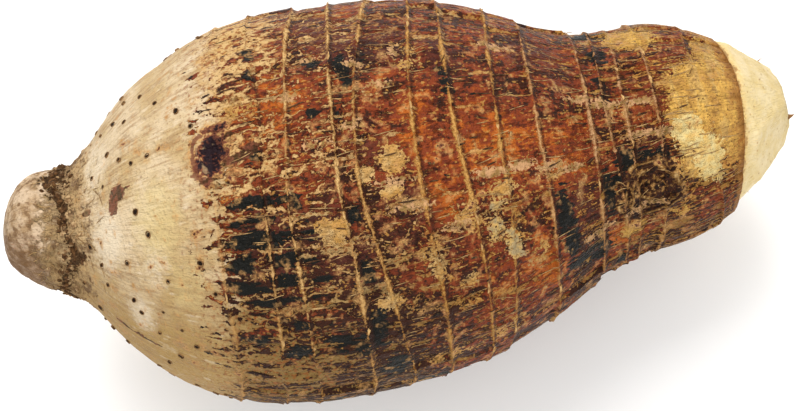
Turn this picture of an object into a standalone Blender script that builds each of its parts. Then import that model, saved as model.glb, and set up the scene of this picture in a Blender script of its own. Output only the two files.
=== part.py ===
"""Taro corm, lying on its side: one solid that grew as one piece.

+X runs along the corm from the broken-off knob to the trimmed neck, +Z is up, and the origin is under the
middle of the corm, on the surface that it lies on. A point of the skin is given by its station, the
distance along the corm's middle line from the knob's end, and its angle round that line: 0 degrees faces
+Y, 90 degrees faces up, 180 degrees faces -Y and 270 degrees faces down. Rows of the skin follow the leaf
scars, which lean, so a row also has a place: its station as it would be without the lean.
"""

import bisect
import math
import random

import bmesh
import bpy
from mathutils import Vector, noise

MM = 0.001

# Outline of the corm: (station, radius)
KNOB_CAP_LENGTH = 14 * MM
KNOB_RADIUS = 17.6 * MM
OUTLINE = (
    (14 * MM, 17.6 * MM),
    (20 * MM, 19.2 * MM),
    (25 * MM, 23.6 * MM),
    (30 * MM, 29.8 * MM),
    (36 * MM, 36.4 * MM),
    (45 * MM, 43.7 * MM),
    (56 * MM, 50.0 * MM),
    (70 * MM, 54.6 * MM),
    (88 * MM, 56.4 * MM),
    (106 * MM, 55.6 * MM),
    (124 * MM, 53.8 * MM),
    (138 * MM, 50.2 * MM),
    (152 * MM, 44.6 * MM),
    (165 * MM, 38.2 * MM),
    (179 * MM, 34.0 * MM),
    (195 * MM, 32.4 * MM),
    (206 * MM, 28.7 * MM),
    (214 * MM, 24.2 * MM),
)
LENGTH = 235 * MM

# Middle line: where it starts, then (station, heading to the side, heading up), in degrees
START = Vector((-116.5 * MM, 6.5 * MM, 62.7 * MM))
BEND = (
    (0 * MM, -9.0, -4.4),
    (30 * MM, -6.0, -4.4),
    (60 * MM, -2.0, -4.4),
    (100 * MM, 0.8, -4.4),
    (140 * MM, 3.0, -4.0),
    (180 * MM, 4.8, -3.2),
    (235 * MM, 3.8, -2.4),
)
STEP = 1 * MM

# Leaf scars, each a low raised ring: (place, lean of the +Y side toward the neck, bow of both sides)
RINGS = (
    (64.5 * MM, 2.7 * MM, 1.5 * MM),
    (74 * MM, 2.0 * MM, 1.0 * MM),
    (85 * MM, 5.0 * MM, 1.8 * MM),
    (98 * MM, 2.8 * MM, 2.2 * MM),
    (106.5 * MM, 5.0 * MM, 4.2 * MM),
    (120 * MM, 4.4 * MM, 2.4 * MM),
    (130.5 * MM, 1.8 * MM, 1.8 * MM),
    (140.5 * MM, 5.8 * MM, 0.8 * MM),
    (153 * MM, 3.9 * MM, 1.1 * MM),
    (167.5 * MM, 3.2 * MM, -0.3 * MM),
    (173 * MM, 2.0 * MM, 0 * MM),
    (180 * MM, 3.0 * MM, 0 * MM),
    (188.5 * MM, 3.4 * MM, -0.2 * MM),
    (203 * MM, 1.2 * MM, 0.3 * MM),
)
UNLEANT_FROM_KNOB = 30 * MM
RING_HEIGHT = 0.8 * MM
RING_HALF_WIDTH = 1.3 * MM
RING_UNEVEN_SIZE = 12 * MM
RING_DRIFT = 0.8 * MM
RING_DRIFT_SIZE = 25 * MM

# Plates of bark between two rings, each a little higher or lower than the next
PLATE_WIDTH = 11 * MM
PLATE_STEP = 0.35 * MM
PLATE_SHIFT = 0.37

# Low, wide unevenness of the whole corm
LUMP_SIZE = 45 * MM
LUMP_HEIGHT = 1.4 * MM

# Crumbly collar where the knob broke off: (starts, ends), and how rough it is
COLLAR = (11 * MM, 25 * MM)
COLLAR_ROUGHNESS = 2.2 * MM
COLLAR_CRUMB = 4.5 * MM

# Buds and swellings are domes, eyes and dents are hollows: (station, angle in degrees, radius, height)
BUDS = (
    (34 * MM, 20, 16 * MM, 1.8 * MM),
    (34 * MM, 200, 16 * MM, -1.8 * MM),
    (63 * MM, 85, 7 * MM, -1.6 * MM),
    (124.7 * MM, 63, 5 * MM, 1.2 * MM),
    (186 * MM, 132, 9.5 * MM, 2.2 * MM),
    (174 * MM, 175, 4 * MM, 1.6 * MM),
    (203.5 * MM, 123, 8 * MM, -0.6 * MM),
    (96 * MM, 236, 7 * MM, 1.5 * MM),
    (152 * MM, 318, 9 * MM, 2.2 * MM),
    (118 * MM, 352, 5 * MM, 1.2 * MM),
)

# Neck trimmed by a knife: the edge of its skin, as in RINGS, then each cut as the angle that it faces and its
# slope, in degrees, and its distance from the middle line at CUT_STATION
SKIN_EDGE = (212 * MM, 2.6 * MM, -1.5 * MM)
CUT_STATION = 212 * MM
CUT_STEP = 0.7 * MM
TIP_RADIUS = 0.2 * MM
KNIFE_CUTS = (
    (15, 36, 24.0 * MM),
    (15, 76, 83.0 * MM),
    (62, 45, 26.6 * MM),
    (98, 40, 25.2 * MM),
    (105, 72, 64.0 * MM),
    (142, 46, 26.4 * MM),
    (195, 37, 23.0 * MM),
    (200, 55, 33.4 * MM),
    (246, 47, 26.4 * MM),
    (288, 41, 25.4 * MM),
    (285, 73, 70.0 * MM),
    (330, 46, 26.6 * MM),
)

# Root scars, small stubs scattered on the shoulder: where they lie, how many, their size
SCAR_STATIONS = (30 * MM, 62 * MM)
SCAR_COUNT = 60
SCAR_FOOT = 1.0 * MM
SCAR_TOP = 0.8 * MM
SCAR_HEIGHT = 0.7 * MM
SCAR_CLEARANCE = 2 * MM

# Mesh: columns round the corm, and the gaps between its rows. A leaf scar has rows on its crest and feet
COLUMNS = 60
CAP_ROWS = 6
COLLAR_GAP = 2.6 * MM
SHOULDER_GAP = 4.0 * MM
BAND_GAP = 6.0 * MM
CUT_GAP = 3.0 * MM
STEP_GAP = 0.3 * MM
RING_FOOT = 1.4 * MM
MERGE_DISTANCE = 0.01 * MM

SEED = 7

SHARP_EDGE = math.radians(35)

# Colours, and where the pale shoulder gives way to bark
SHOULDER_END = 61 * MM
SKIN_COLOUR = (0.21, 0.075, 0.03, 1.0)
SHOULDER_COLOUR = (0.55, 0.40, 0.20, 1.0)
FLESH_COLOUR = (0.85, 0.69, 0.36, 1.0)


def clear_scene():
    for thing in list(bpy.data.objects):
        bpy.data.objects.remove(thing, do_unlink=True)


def smooth_through(points, x):
    """Value at x of a smooth curve through points, which are (x, value) in order of x."""
    if x <= points[0][0]:
        return points[0][1]
    if x >= points[-1][0]:
        return points[-1][1]
    place = next(i for i in range(len(points) - 1) if x <= points[i + 1][0])

    def slope(i):
        low, high = max(i - 1, 0), min(i + 1, len(points) - 1)
        return (points[high][1] - points[low][1]) / (points[high][0] - points[low][0])

    (x0, y0), (x1, y1) = points[place], points[place + 1]
    span = x1 - x0
    t = (x - x0) / span
    return (
        y0 * (1 + 2 * t) * (1 - t) ** 2
        + slope(place) * span * t * (1 - t) ** 2
        + y1 * t * t * (3 - 2 * t)
        + slope(place + 1) * span * t * t * (t - 1)
    )


def middle_line():
    """Middle line of the corm: (position, heading) at every STEP of its length."""
    to_side = [(station, side) for station, side, _ in BEND]
    upward = [(station, rise) for station, _, rise in BEND]
    position, line = START.copy(), []
    for i in range(int(round(LENGTH / STEP)) + 1):
        side = math.radians(smooth_through(to_side, i * STEP))
        rise = math.radians(smooth_through(upward, i * STEP))
        level = math.cos(rise)
        heading = Vector((level * math.cos(side), level * math.sin(side), math.sin(rise)))
        line.append((position.copy(), heading))
        position += heading * STEP
    return line


MIDDLE_LINE = middle_line()


def place_on_line(station, radius, angle):
    """Point at this station of the middle line, this far out at this angle."""
    steps = min(max(station / STEP, 0), len(MIDDLE_LINE) - 1)
    i = min(int(steps), len(MIDDLE_LINE) - 2)
    (start, heading), (end, next_heading) = MIDDLE_LINE[i], MIDDLE_LINE[i + 1]
    forward = heading.lerp(next_heading, steps - i).normalized()
    left = Vector((0, 0, 1)).cross(forward).normalized()
    up = forward.cross(left)
    return start.lerp(end, steps - i) + radius * (math.cos(angle) * left + math.sin(angle) * up)


def outline_radius(station):
    """Radius of the corm before it is trimmed, with a rounded end on the knob."""
    if station < KNOB_CAP_LENGTH:
        inward = 1 - max(station, 0) / KNOB_CAP_LENGTH
        return KNOB_RADIUS * math.sqrt(max(0, 1 - inward**2.4))
    return smooth_through(OUTLINE, station)


def cut_radius(station, angle):
    """Radius at which the knife cuts meet the ray at this angle."""
    nearest = outline_radius(station) - CUT_STEP
    for cut_angle, slope, radius in KNIFE_CUTS:
        facing = math.cos(angle - math.radians(cut_angle))
        if facing > 0.05:
            reach = radius - (station - CUT_STATION) * math.tan(math.radians(slope))
            nearest = min(nearest, reach / facing)
    return max(nearest, TIP_RADIUS)


def noise_round(station, angle, size, layer):
    """Smooth noise between about -1 and 1 on the skin, without a seam, with lumps of this size."""
    radius = outline_radius(station)
    spot = Vector((station, radius * math.cos(angle), radius * math.sin(angle)))
    return noise.noise(spot / size + Vector((0, 0, 10.7 * layer + SEED)))


def station_of(place, angle):
    """Station of the row at this place, which leans and drifts as the leaf scars do."""
    leant = [(UNLEANT_FROM_KNOB, 0, 0), *RINGS, SKIN_EDGE, (LENGTH, 0, 0)]
    leans = [(row, lean) for row, lean, _ in leant]
    bows = [(row, bow) for row, _, bow in leant]
    drift = [(UNLEANT_FROM_KNOB, 0), (RINGS[0][0], RING_DRIFT), (SKIN_EDGE[0], RING_DRIFT), (LENGTH, 0)]
    return (
        place
        + smooth_through(leans, place) * math.cos(angle)
        + smooth_through(bows, place) * math.cos(2 * angle)
        + smooth_through(drift, place) * noise_round(place, angle, RING_DRIFT_SIZE, 1)
    )


def ring_relief(place, station, angle):
    gap = min(abs(place - ring) for ring, _, _ in RINGS)
    height = RING_HEIGHT * (1 + 0.5 * noise_round(station, angle, RING_UNEVEN_SIZE, 2))
    return height * math.exp(-((gap / RING_HALF_WIDTH) ** 2))


def plate_relief(place, angle):
    band = bisect.bisect([ring for ring, _, _ in RINGS], place)
    if band == 0:
        return 0
    count = round(2 * math.pi * outline_radius(place) / PLATE_WIDTH)
    plate = int((angle / (2 * math.pi) + PLATE_SHIFT * band) * count) % count
    return PLATE_STEP * (2 * noise.cell(Vector((band + 0.5, plate + 0.5, SEED + 0.5))) - 1)


def bud_relief(station, angle):
    relief = 0
    for bud_station, bud_angle, radius, height in BUDS:
        turn = math.remainder(angle - math.radians(bud_angle), 2 * math.pi)
        apart = math.hypot(station - bud_station, turn * outline_radius(station)) / radius
        if apart < 1:
            relief += height * (1 - apart**2) ** 1.5
    return relief


def collar_relief(station, angle):
    start, end = COLLAR
    if not start < station < end:
        return 0
    inside = math.sin(math.pi * (station - start) / (end - start))
    return COLLAR_ROUGHNESS * inside * noise_round(station, angle, COLLAR_CRUMB, 3)


def skin_radius(place, station, angle):
    """Radius of the skin with all that is raised on it or sunk in it."""
    fade = min(1, max(station, 0) / KNOB_CAP_LENGTH)
    return (
        outline_radius(station)
        + fade * LUMP_HEIGHT * noise_round(station, angle, LUMP_SIZE, 0)
        + ring_relief(place, station, angle)
        + plate_relief(place, angle)
        + bud_relief(station, angle)
        + collar_relief(station, angle)
    )


def surface_point(place, angle):
    """Point of the finished surface, with the underside cut level where the corm rests."""
    station = station_of(place, angle)
    if place > SKIN_EDGE[0]:
        radius = cut_radius(station, angle)
    else:
        radius = skin_radius(place, station, angle)
    point = place_on_line(station, radius, angle)
    point.z = max(point.z, 0)
    return point


def evenly(start, end, gap):
    """Values from start up to, but without, end, about this gap apart."""
    count = max(1, round((end - start) / gap))
    return [start + (end - start) * i / count for i in range(count)]


def mesh_rows():
    """Places of the rows, from the knob's end to the cut tip, without those two points."""
    turns = [math.radians(90 * i / CAP_ROWS) for i in range(1, CAP_ROWS)]
    rows = [KNOB_CAP_LENGTH * (1 - math.cos(turn)) for turn in turns]
    rows += evenly(KNOB_CAP_LENGTH, UNLEANT_FROM_KNOB, COLLAR_GAP)
    start, gap = UNLEANT_FROM_KNOB, SHOULDER_GAP
    for ring, _, _ in RINGS:
        rows += evenly(start, ring - RING_FOOT, gap)
        rows += [ring - RING_FOOT, ring]
        start, gap = ring + RING_FOOT, BAND_GAP
    rows += evenly(start, SKIN_EDGE[0], gap)
    rows += [SKIN_EDGE[0]]
    rows += evenly(SKIN_EDGE[0] + STEP_GAP, LENGTH, CUT_GAP)
    return rows


def turned_blank():
    """Turned shape that stands on the knob's end, with an edge loop at the height of each row."""
    rows = [(0, 0)] + [(outline_radius(row), row) for row in mesh_rows()] + [(0, LENGTH)]
    mesh = bpy.data.meshes.new("taro_corm")
    profile = [(radius, 0, height) for radius, height in reversed(rows)]
    mesh.from_pydata(profile, [(i, i + 1) for i in range(len(profile) - 1)], [])
    corm = bpy.data.objects.new("taro_corm", mesh)
    collection = bpy.data.collections.new("taro_root")
    bpy.context.scene.collection.children.link(collection)
    collection.objects.link(corm)
    turn = corm.modifiers.new("turn", "SCREW")
    turn.steps = turn.render_steps = COLUMNS
    turn.use_merge_vertices = True
    turn.merge_threshold = MERGE_DISTANCE
    bpy.context.view_layer.update()
    turned = bpy.data.meshes.new_from_object(corm.evaluated_get(bpy.context.evaluated_depsgraph_get()))
    corm.modifiers.clear()
    corm.data = turned
    bpy.data.meshes.remove(mesh)
    turned.name = "taro_corm"
    return corm


def material(name, colour, roughness):
    made = bpy.data.materials.new(name)
    made.use_nodes = True
    shader = made.node_tree.nodes["Principled BSDF"]
    shader.inputs["Base Color"].default_value = colour
    shader.inputs["Roughness"].default_value = roughness
    shader.inputs["Metallic"].default_value = 0
    return made


def colour_by_place(corm):
    """Gives the shoulder, the bark and the cut flesh each its own material, while the blank still stands."""
    corm.data.materials.clear()
    corm.data.materials.append(material("shoulder_skin", SHOULDER_COLOUR, 0.75))
    corm.data.materials.append(material("ringed_bark", SKIN_COLOUR, 0.6))
    corm.data.materials.append(material("cut_flesh", FLESH_COLOUR, 0.5))
    for face in corm.data.polygons:
        face.material_index = bisect.bisect([SHOULDER_END, SKIN_EDGE[0]], face.center.z)


def raise_root_scars(corm):
    """Draws a small stub out of faces picked at random on the shoulder, where roots grew."""
    draw = random.Random(SEED)
    work = bmesh.new()
    work.from_mesh(corm.data)
    low, high = (place_on_line(station, 0, 0).x for station in SCAR_STATIONS)
    middles = [(face, face.calc_center_median()) for face in work.faces]
    shoulder = [face for face, middle in middles if low < middle.x < high and middle.z > SCAR_CLEARANCE]
    for face in draw.sample(shoulder, SCAR_COUNT):
        normal = face.normal.copy()
        centre = face.calc_center_median()
        for size, lift in ((SCAR_FOOT, 0), (SCAR_TOP, SCAR_HEIGHT)):
            face = bmesh.ops.extrude_discrete_faces(work, faces=[face])["faces"][0]
            for vert in face.verts:
                outward = vert.co - centre
                outward -= outward.dot(normal) * normal
                vert.co = centre + outward.normalized() * size + normal * lift
    work.to_mesh(corm.data)
    work.free()


def main():
    clear_scene()
    corm = turned_blank()
    colour_by_place(corm)
    for vertex in corm.data.vertices:
        vertex.co = surface_point(vertex.co.z, math.atan2(vertex.co.y, vertex.co.x))
    corm.data.update()
    raise_root_scars(corm)
    corm.data.shade_smooth()
    corm.data.set_sharp_from_angle(angle=SHARP_EDGE)


main()
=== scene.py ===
"""Looks of a taro corm lying on its side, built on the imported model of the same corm.

A point of the skin is given by its station, the distance along the corm's middle line from the knob's end,
and its angle round that line: 0 degrees faces +Y, 90 degrees up, 180 degrees -Y and 270 degrees down.
Rows of the skin follow the leaf scars, which lean, so a row also has a place: its station without the lean.
Lengths are in millimetres inside the classes, and become metres where a mesh is written.
"""

import logging
import math
import random
from dataclasses import dataclass, field
from enum import Enum
from typing import Callable, Sequence, Union

import bmesh
import bpy
import numpy as np
from mathutils import Matrix, Vector, noise
from mathutils.bvhtree import BVHTree

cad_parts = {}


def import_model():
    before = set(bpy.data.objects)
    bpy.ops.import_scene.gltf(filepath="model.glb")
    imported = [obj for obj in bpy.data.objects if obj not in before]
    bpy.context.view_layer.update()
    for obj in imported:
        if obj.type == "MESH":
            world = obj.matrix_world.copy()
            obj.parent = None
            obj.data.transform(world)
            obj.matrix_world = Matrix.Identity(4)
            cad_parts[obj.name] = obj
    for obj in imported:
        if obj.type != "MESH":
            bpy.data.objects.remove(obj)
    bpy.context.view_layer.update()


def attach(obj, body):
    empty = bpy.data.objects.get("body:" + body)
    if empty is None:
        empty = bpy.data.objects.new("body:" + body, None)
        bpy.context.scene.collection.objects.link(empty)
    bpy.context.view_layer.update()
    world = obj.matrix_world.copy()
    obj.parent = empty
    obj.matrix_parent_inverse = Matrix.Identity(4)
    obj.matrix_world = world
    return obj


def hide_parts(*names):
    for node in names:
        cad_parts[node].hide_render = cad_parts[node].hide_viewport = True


LOG = logging.getLogger("taro")
MM = 0.001
BODY = "root"
NODE = "taro_corm"

Piece = bpy.types.Object
Socket = bpy.types.NodeSocket
Pair = tuple[float, float]
Triple = tuple[float, float, float]
Colour = Triple
Feed = Union[float, Sequence[float], Socket, None]
Table = tuple[tuple[float, ...], ...]


class Cover(Enum):
    """What a blotch on the skin changes, each the name of an attribute that the skin's material reads.

    BARK is more bark, or less where the strength is below 0. CHAR is black bark, WARM orange bark and DUSK
    dark red bark. PEEL is where the bark came off whole, PALE a pale lobe, STAIN a dark stain and CREASE a
    pale crease. LINE is where the leaf scars are worn away.
    """

    BARK = "bark_cover"
    CHAR = "char"
    PEEL = "peel"
    WARM = "warm"
    DUSK = "dusk"
    PALE = "pale"
    STAIN = "stain"
    CREASE = "crease"
    LINE = "ring_fade"


@dataclass(frozen=True)
class Blotch:
    """An oval patch of skin, in millimetres and degrees."""

    station: float
    angle: float
    half_length: float
    half_width: float
    strength: float = 1.0


def ovals(*rows: Sequence[float]) -> tuple[Blotch, ...]:
    """Blotches from rows of station, angle, half-length, half-width and strength."""
    return tuple(Blotch(*row) for row in rows)


@dataclass(frozen=True)
class Ring:
    """A leaf scar round the corm: its place, how far its +Y side leans to the neck, and its bow."""

    place: float
    lean: float
    bow: float


@dataclass(frozen=True)
class Bud:
    """A dome or hollow in the skin."""

    station: float
    angle: float
    radius: float
    height: float


@dataclass(frozen=True)
class KnifeCut:
    """One flat cut of the trimmed neck: the angle that it faces, its slope, and how far out it starts."""

    angle: float
    slope: float
    radius: float


def smooth_through(points: Sequence[Sequence[float]], x: np.ndarray) -> np.ndarray:
    """Values of a smooth curve through points.

    Args:
        points: Pairs (x, value) in order of x.
        x: Where the curve is read.

    Returns:
        The curve's value at each x, constant beyond the two ends.
    """
    knots = np.array([point[0] for point in points], float)
    values = np.array([point[1] for point in points], float)
    last = len(knots) - 1
    low = np.maximum(np.arange(last + 1) - 1, 0)
    high = np.minimum(np.arange(last + 1) + 1, last)
    slopes = (values[high] - values[low]) / (knots[high] - knots[low])
    x = np.clip(np.asarray(x, float), knots[0], knots[-1])
    i = np.clip(np.searchsorted(knots, x, side="left") - 1, 0, last - 1)
    span = knots[i + 1] - knots[i]
    t = (x - knots[i]) / span
    return (
        values[i] * (1 + 2 * t) * (1 - t) ** 2
        + slopes[i] * span * t * (1 - t) ** 2
        + values[i + 1] * t * t * (3 - 2 * t)
        + slopes[i + 1] * span * t * t * (t - 1)
    )


def band_at(path: Table, x: np.ndarray) -> tuple[np.ndarray, np.ndarray]:
    """Values of two smooth curves through rows (x, first value, second value)."""
    rows = np.array(path)
    return smooth_through(rows[:, [0, 1]], x), smooth_through(rows[:, [0, 2]], x)


def noise_at(points: np.ndarray) -> np.ndarray:
    """Smooth noise, between about -1 and 1.

    Args:
        points: One row of three coordinates for each reading.

    Returns:
        The noise at each point.
    """
    return np.array([noise.noise(Vector(point)) for point in points.tolist()])


def cell_noise_at(points: np.ndarray) -> np.ndarray:
    """One random value between -1 and 1 for each whole-number cell that a point lies in."""
    return np.array([2 * noise.cell(Vector(point)) - 1 for point in points.tolist()])


@dataclass
class CormForm:
    """The corm's shape as a formula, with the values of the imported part.

    The leaf scars and two cuts on the lower side of the point are read from the photo once more: the scars
    lie up to 5 mm from the part's, the cuts up to 3 mm.
    """

    length: float = 235.0
    knob_cap_length: float = 14.0
    knob_radius: float = 17.6
    knob_bluntness: float = 2.4
    outline: Table = (
        (14, 17.6), (20, 19.2), (25, 23.6), (30, 29.8), (36, 36.4), (45, 43.7), (56, 50), (70, 54.6),
        (88, 56.4), (106, 55.6), (124, 53.8), (138, 50.2), (152, 44.6), (165, 38.2), (179, 34),
        (195, 32.4), (206, 28.7), (214, 24.2),
    )
    start: Triple = (-116.5, 6.5, 62.7)
    bend: Table = (
        (0, -9, -4.4), (30, -6, -4.4), (60, -2, -4.4), (100, 0.8, -4.4), (140, 3, -4),
        (180, 4.8, -3.2), (235, 3.8, -2.4),
    )
    rings: tuple[Ring, ...] = (
        Ring(62.0, 3.0, 2.4), Ring(73.5, 2.5, 1.3), Ring(83.0, 5.6, 4.0), Ring(95.8, 3.7, 3.7),
        Ring(104.5, 4.8, 6.8), Ring(118.1, 5.2, 4.2), Ring(128.9, 2.9, 3.2), Ring(140.1, 6.7, 2.0),
        Ring(151.3, 4.3, 2.0), Ring(166.7, 4.2, 1.1), Ring(172.9, 3.3, 1.8), Ring(178.1, 3.8, 1.4),
        Ring(186.1, 3.6, 0.3), Ring(201.7, 1.7, 2.3),
    )
    skin_edge: Ring = Ring(212, 2.6, -1.5)
    unleant_from_knob: float = 30.0
    ring_drift: float = 0.8
    ring_drift_size: float = 25.0
    lump_size: float = 45.0
    lump_height: float = 1.4
    buds: tuple[Bud, ...] = (
        Bud(34, 20, 16, 1.8), Bud(34, 200, 16, -1.8), Bud(63, 85, 7, -1.6), Bud(124.7, 63, 5, 1.2),
        Bud(186, 132, 9.5, 2.2), Bud(174, 175, 4, 1.6), Bud(203.5, 123, 8, -0.6), Bud(96, 236, 7, 1.5),
        Bud(152, 318, 9, 2.2), Bud(118, 352, 5, 1.2),
    )
    cut_station: float = 212.0
    cut_step: float = 0.7
    tip_radius: float = 0.2
    tip_station: float = 232.8
    knife_cuts: tuple[KnifeCut, ...] = (
        KnifeCut(15, 36, 24.0), KnifeCut(15, 76, 83.0), KnifeCut(62, 45, 26.6), KnifeCut(98, 40, 25.2),
        KnifeCut(105, 72, 64.0), KnifeCut(142, 46, 26.4), KnifeCut(195, 33, 23.0),
        KnifeCut(200, 64, 46.5), KnifeCut(246, 47, 26.4), KnifeCut(288, 41, 25.4),
        KnifeCut(285, 73, 70.0), KnifeCut(330, 46, 26.6),
    )
    least_facing: float = 0.05
    seed: int = 7
    noise_layer_gap: float = 10.7
    line: np.ndarray = field(init=False, repr=False)
    heading: np.ndarray = field(init=False, repr=False)

    def __post_init__(self) -> None:
        """Walks the middle line once, a millimetre at a time."""
        steps = np.arange(int(self.length) + 1, dtype=float)
        side, rise = (np.radians(angles) for angles in band_at(self.bend, steps))
        heading = np.stack([np.cos(rise) * np.cos(side), np.cos(rise) * np.sin(side), np.sin(rise)], -1)
        walked = np.vstack([np.zeros(3), np.cumsum(heading[:-1], axis=0)])
        self.line = np.array(self.start) + walked
        self.heading = heading

    def on_line(self, station: np.ndarray, radius: np.ndarray, angle: np.ndarray) -> np.ndarray:
        """Points this far out from the middle line.

        Args:
            station: Distance along the middle line.
            radius: Distance out from it.
            angle: Angle round it, in radians.

        Returns:
            One row of three coordinates for each point.
        """
        last = len(self.line) - 1
        station = np.clip(station, 0, last)
        i = np.minimum(station.astype(int), last - 1)
        t = (station - i)[..., None]
        forward = self.heading[i] * (1 - t) + self.heading[i + 1] * t
        forward /= np.linalg.norm(forward, axis=-1, keepdims=True)
        left = np.stack([-forward[..., 1], forward[..., 0], np.zeros_like(forward[..., 0])], -1)
        left /= np.linalg.norm(left, axis=-1, keepdims=True)
        up = np.cross(forward, left)
        centre = self.line[i] * (1 - t) + self.line[i + 1] * t
        out = np.cos(angle)[..., None] * left + np.sin(angle)[..., None] * up
        return centre + np.asarray(radius)[..., None] * out

    def outline_radius(self, station: np.ndarray) -> np.ndarray:
        """Radius before the neck is trimmed, with a rounded end on the knob."""
        inward = 1 - np.clip(station, 0, self.knob_cap_length) / self.knob_cap_length
        cap = self.knob_radius * np.sqrt(np.maximum(0, 1 - inward**self.knob_bluntness))
        return np.where(station < self.knob_cap_length, cap, smooth_through(self.outline, station))

    def cut_radius(self, station: np.ndarray, angle: np.ndarray) -> np.ndarray:
        """Radius at which the knife cuts meet the ray at this angle."""
        nearest = self.outline_radius(station) - self.cut_step
        for cut in self.knife_cuts:
            facing = np.cos(angle - math.radians(cut.angle))
            reach = cut.radius - (station - self.cut_station) * math.tan(math.radians(cut.slope))
            met = np.where(
                facing > self.least_facing, reach / np.maximum(facing, self.least_facing), np.inf
            )
            nearest = np.minimum(nearest, met)
        return np.maximum(nearest, self.tip_radius)

    def noise_round(self, station: np.ndarray, angle: np.ndarray, size: float, layer: int) -> np.ndarray:
        """Smooth noise on the skin, without a seam.

        Args:
            station: Distance along the middle line.
            angle: Angle round it, in radians.
            size: Width of a lump of the noise.
            layer: Which of several unlike noises is read.

        Returns:
            Values between about -1 and 1.
        """
        radius = self.outline_radius(station)
        spot = np.stack([station, radius * np.cos(angle), radius * np.sin(angle)], -1) / size
        spot[..., 2] += self.noise_layer_gap * layer + self.seed
        return noise_at(spot)

    def station_of(self, place: np.ndarray, angle: np.ndarray) -> np.ndarray:
        """Station of the row at this place, which leans and drifts as the leaf scars do."""
        start, edge = self.unleant_from_knob, self.skin_edge
        leant = (Ring(start, 0, 0), *self.rings, edge, Ring(self.length, 0, 0))
        leans = [(ring.place, ring.lean) for ring in leant]
        bows = [(ring.place, ring.bow) for ring in leant]
        drift = [(start, 0), (self.rings[0].place, self.ring_drift), (edge.place, self.ring_drift)]
        drift.append((self.length, 0))
        return (
            place
            + smooth_through(leans, place) * np.cos(angle)
            + smooth_through(bows, place) * np.cos(2 * angle)
            + smooth_through(drift, place) * self.noise_round(place, angle, self.ring_drift_size, 1)
        )

    def bud_relief(self, station: np.ndarray, angle: np.ndarray) -> np.ndarray:
        """Height of the buds and swellings, and depth of the hollows."""
        relief = np.zeros_like(station)
        radius = self.outline_radius(station)
        for bud in self.buds:
            turn = turned_by(angle, bud.angle)
            apart = np.hypot(station - bud.station, turn * radius) / bud.radius
            relief += bud.height * np.maximum(1 - apart**2, 0) ** 1.5
        return relief


def turned_by(angle: np.ndarray, degrees: float) -> np.ndarray:
    """Angle in radians from this many degrees, between -pi and pi."""
    turn = angle - math.radians(degrees)
    return (turn + math.pi) % (2 * math.pi) - math.pi


def bell(distance: np.ndarray, half_width: float) -> np.ndarray:
    """One at no distance, falling off smoothly within about this half-width."""
    return np.exp(-((distance / half_width) ** 2))


def step_up(value: np.ndarray, low: float, high: float) -> np.ndarray:
    """Zero below low, one above high, and smooth between them."""
    t = np.clip((value - low) / (high - low), 0, 1)
    return t * t * (3 - 2 * t)


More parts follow.
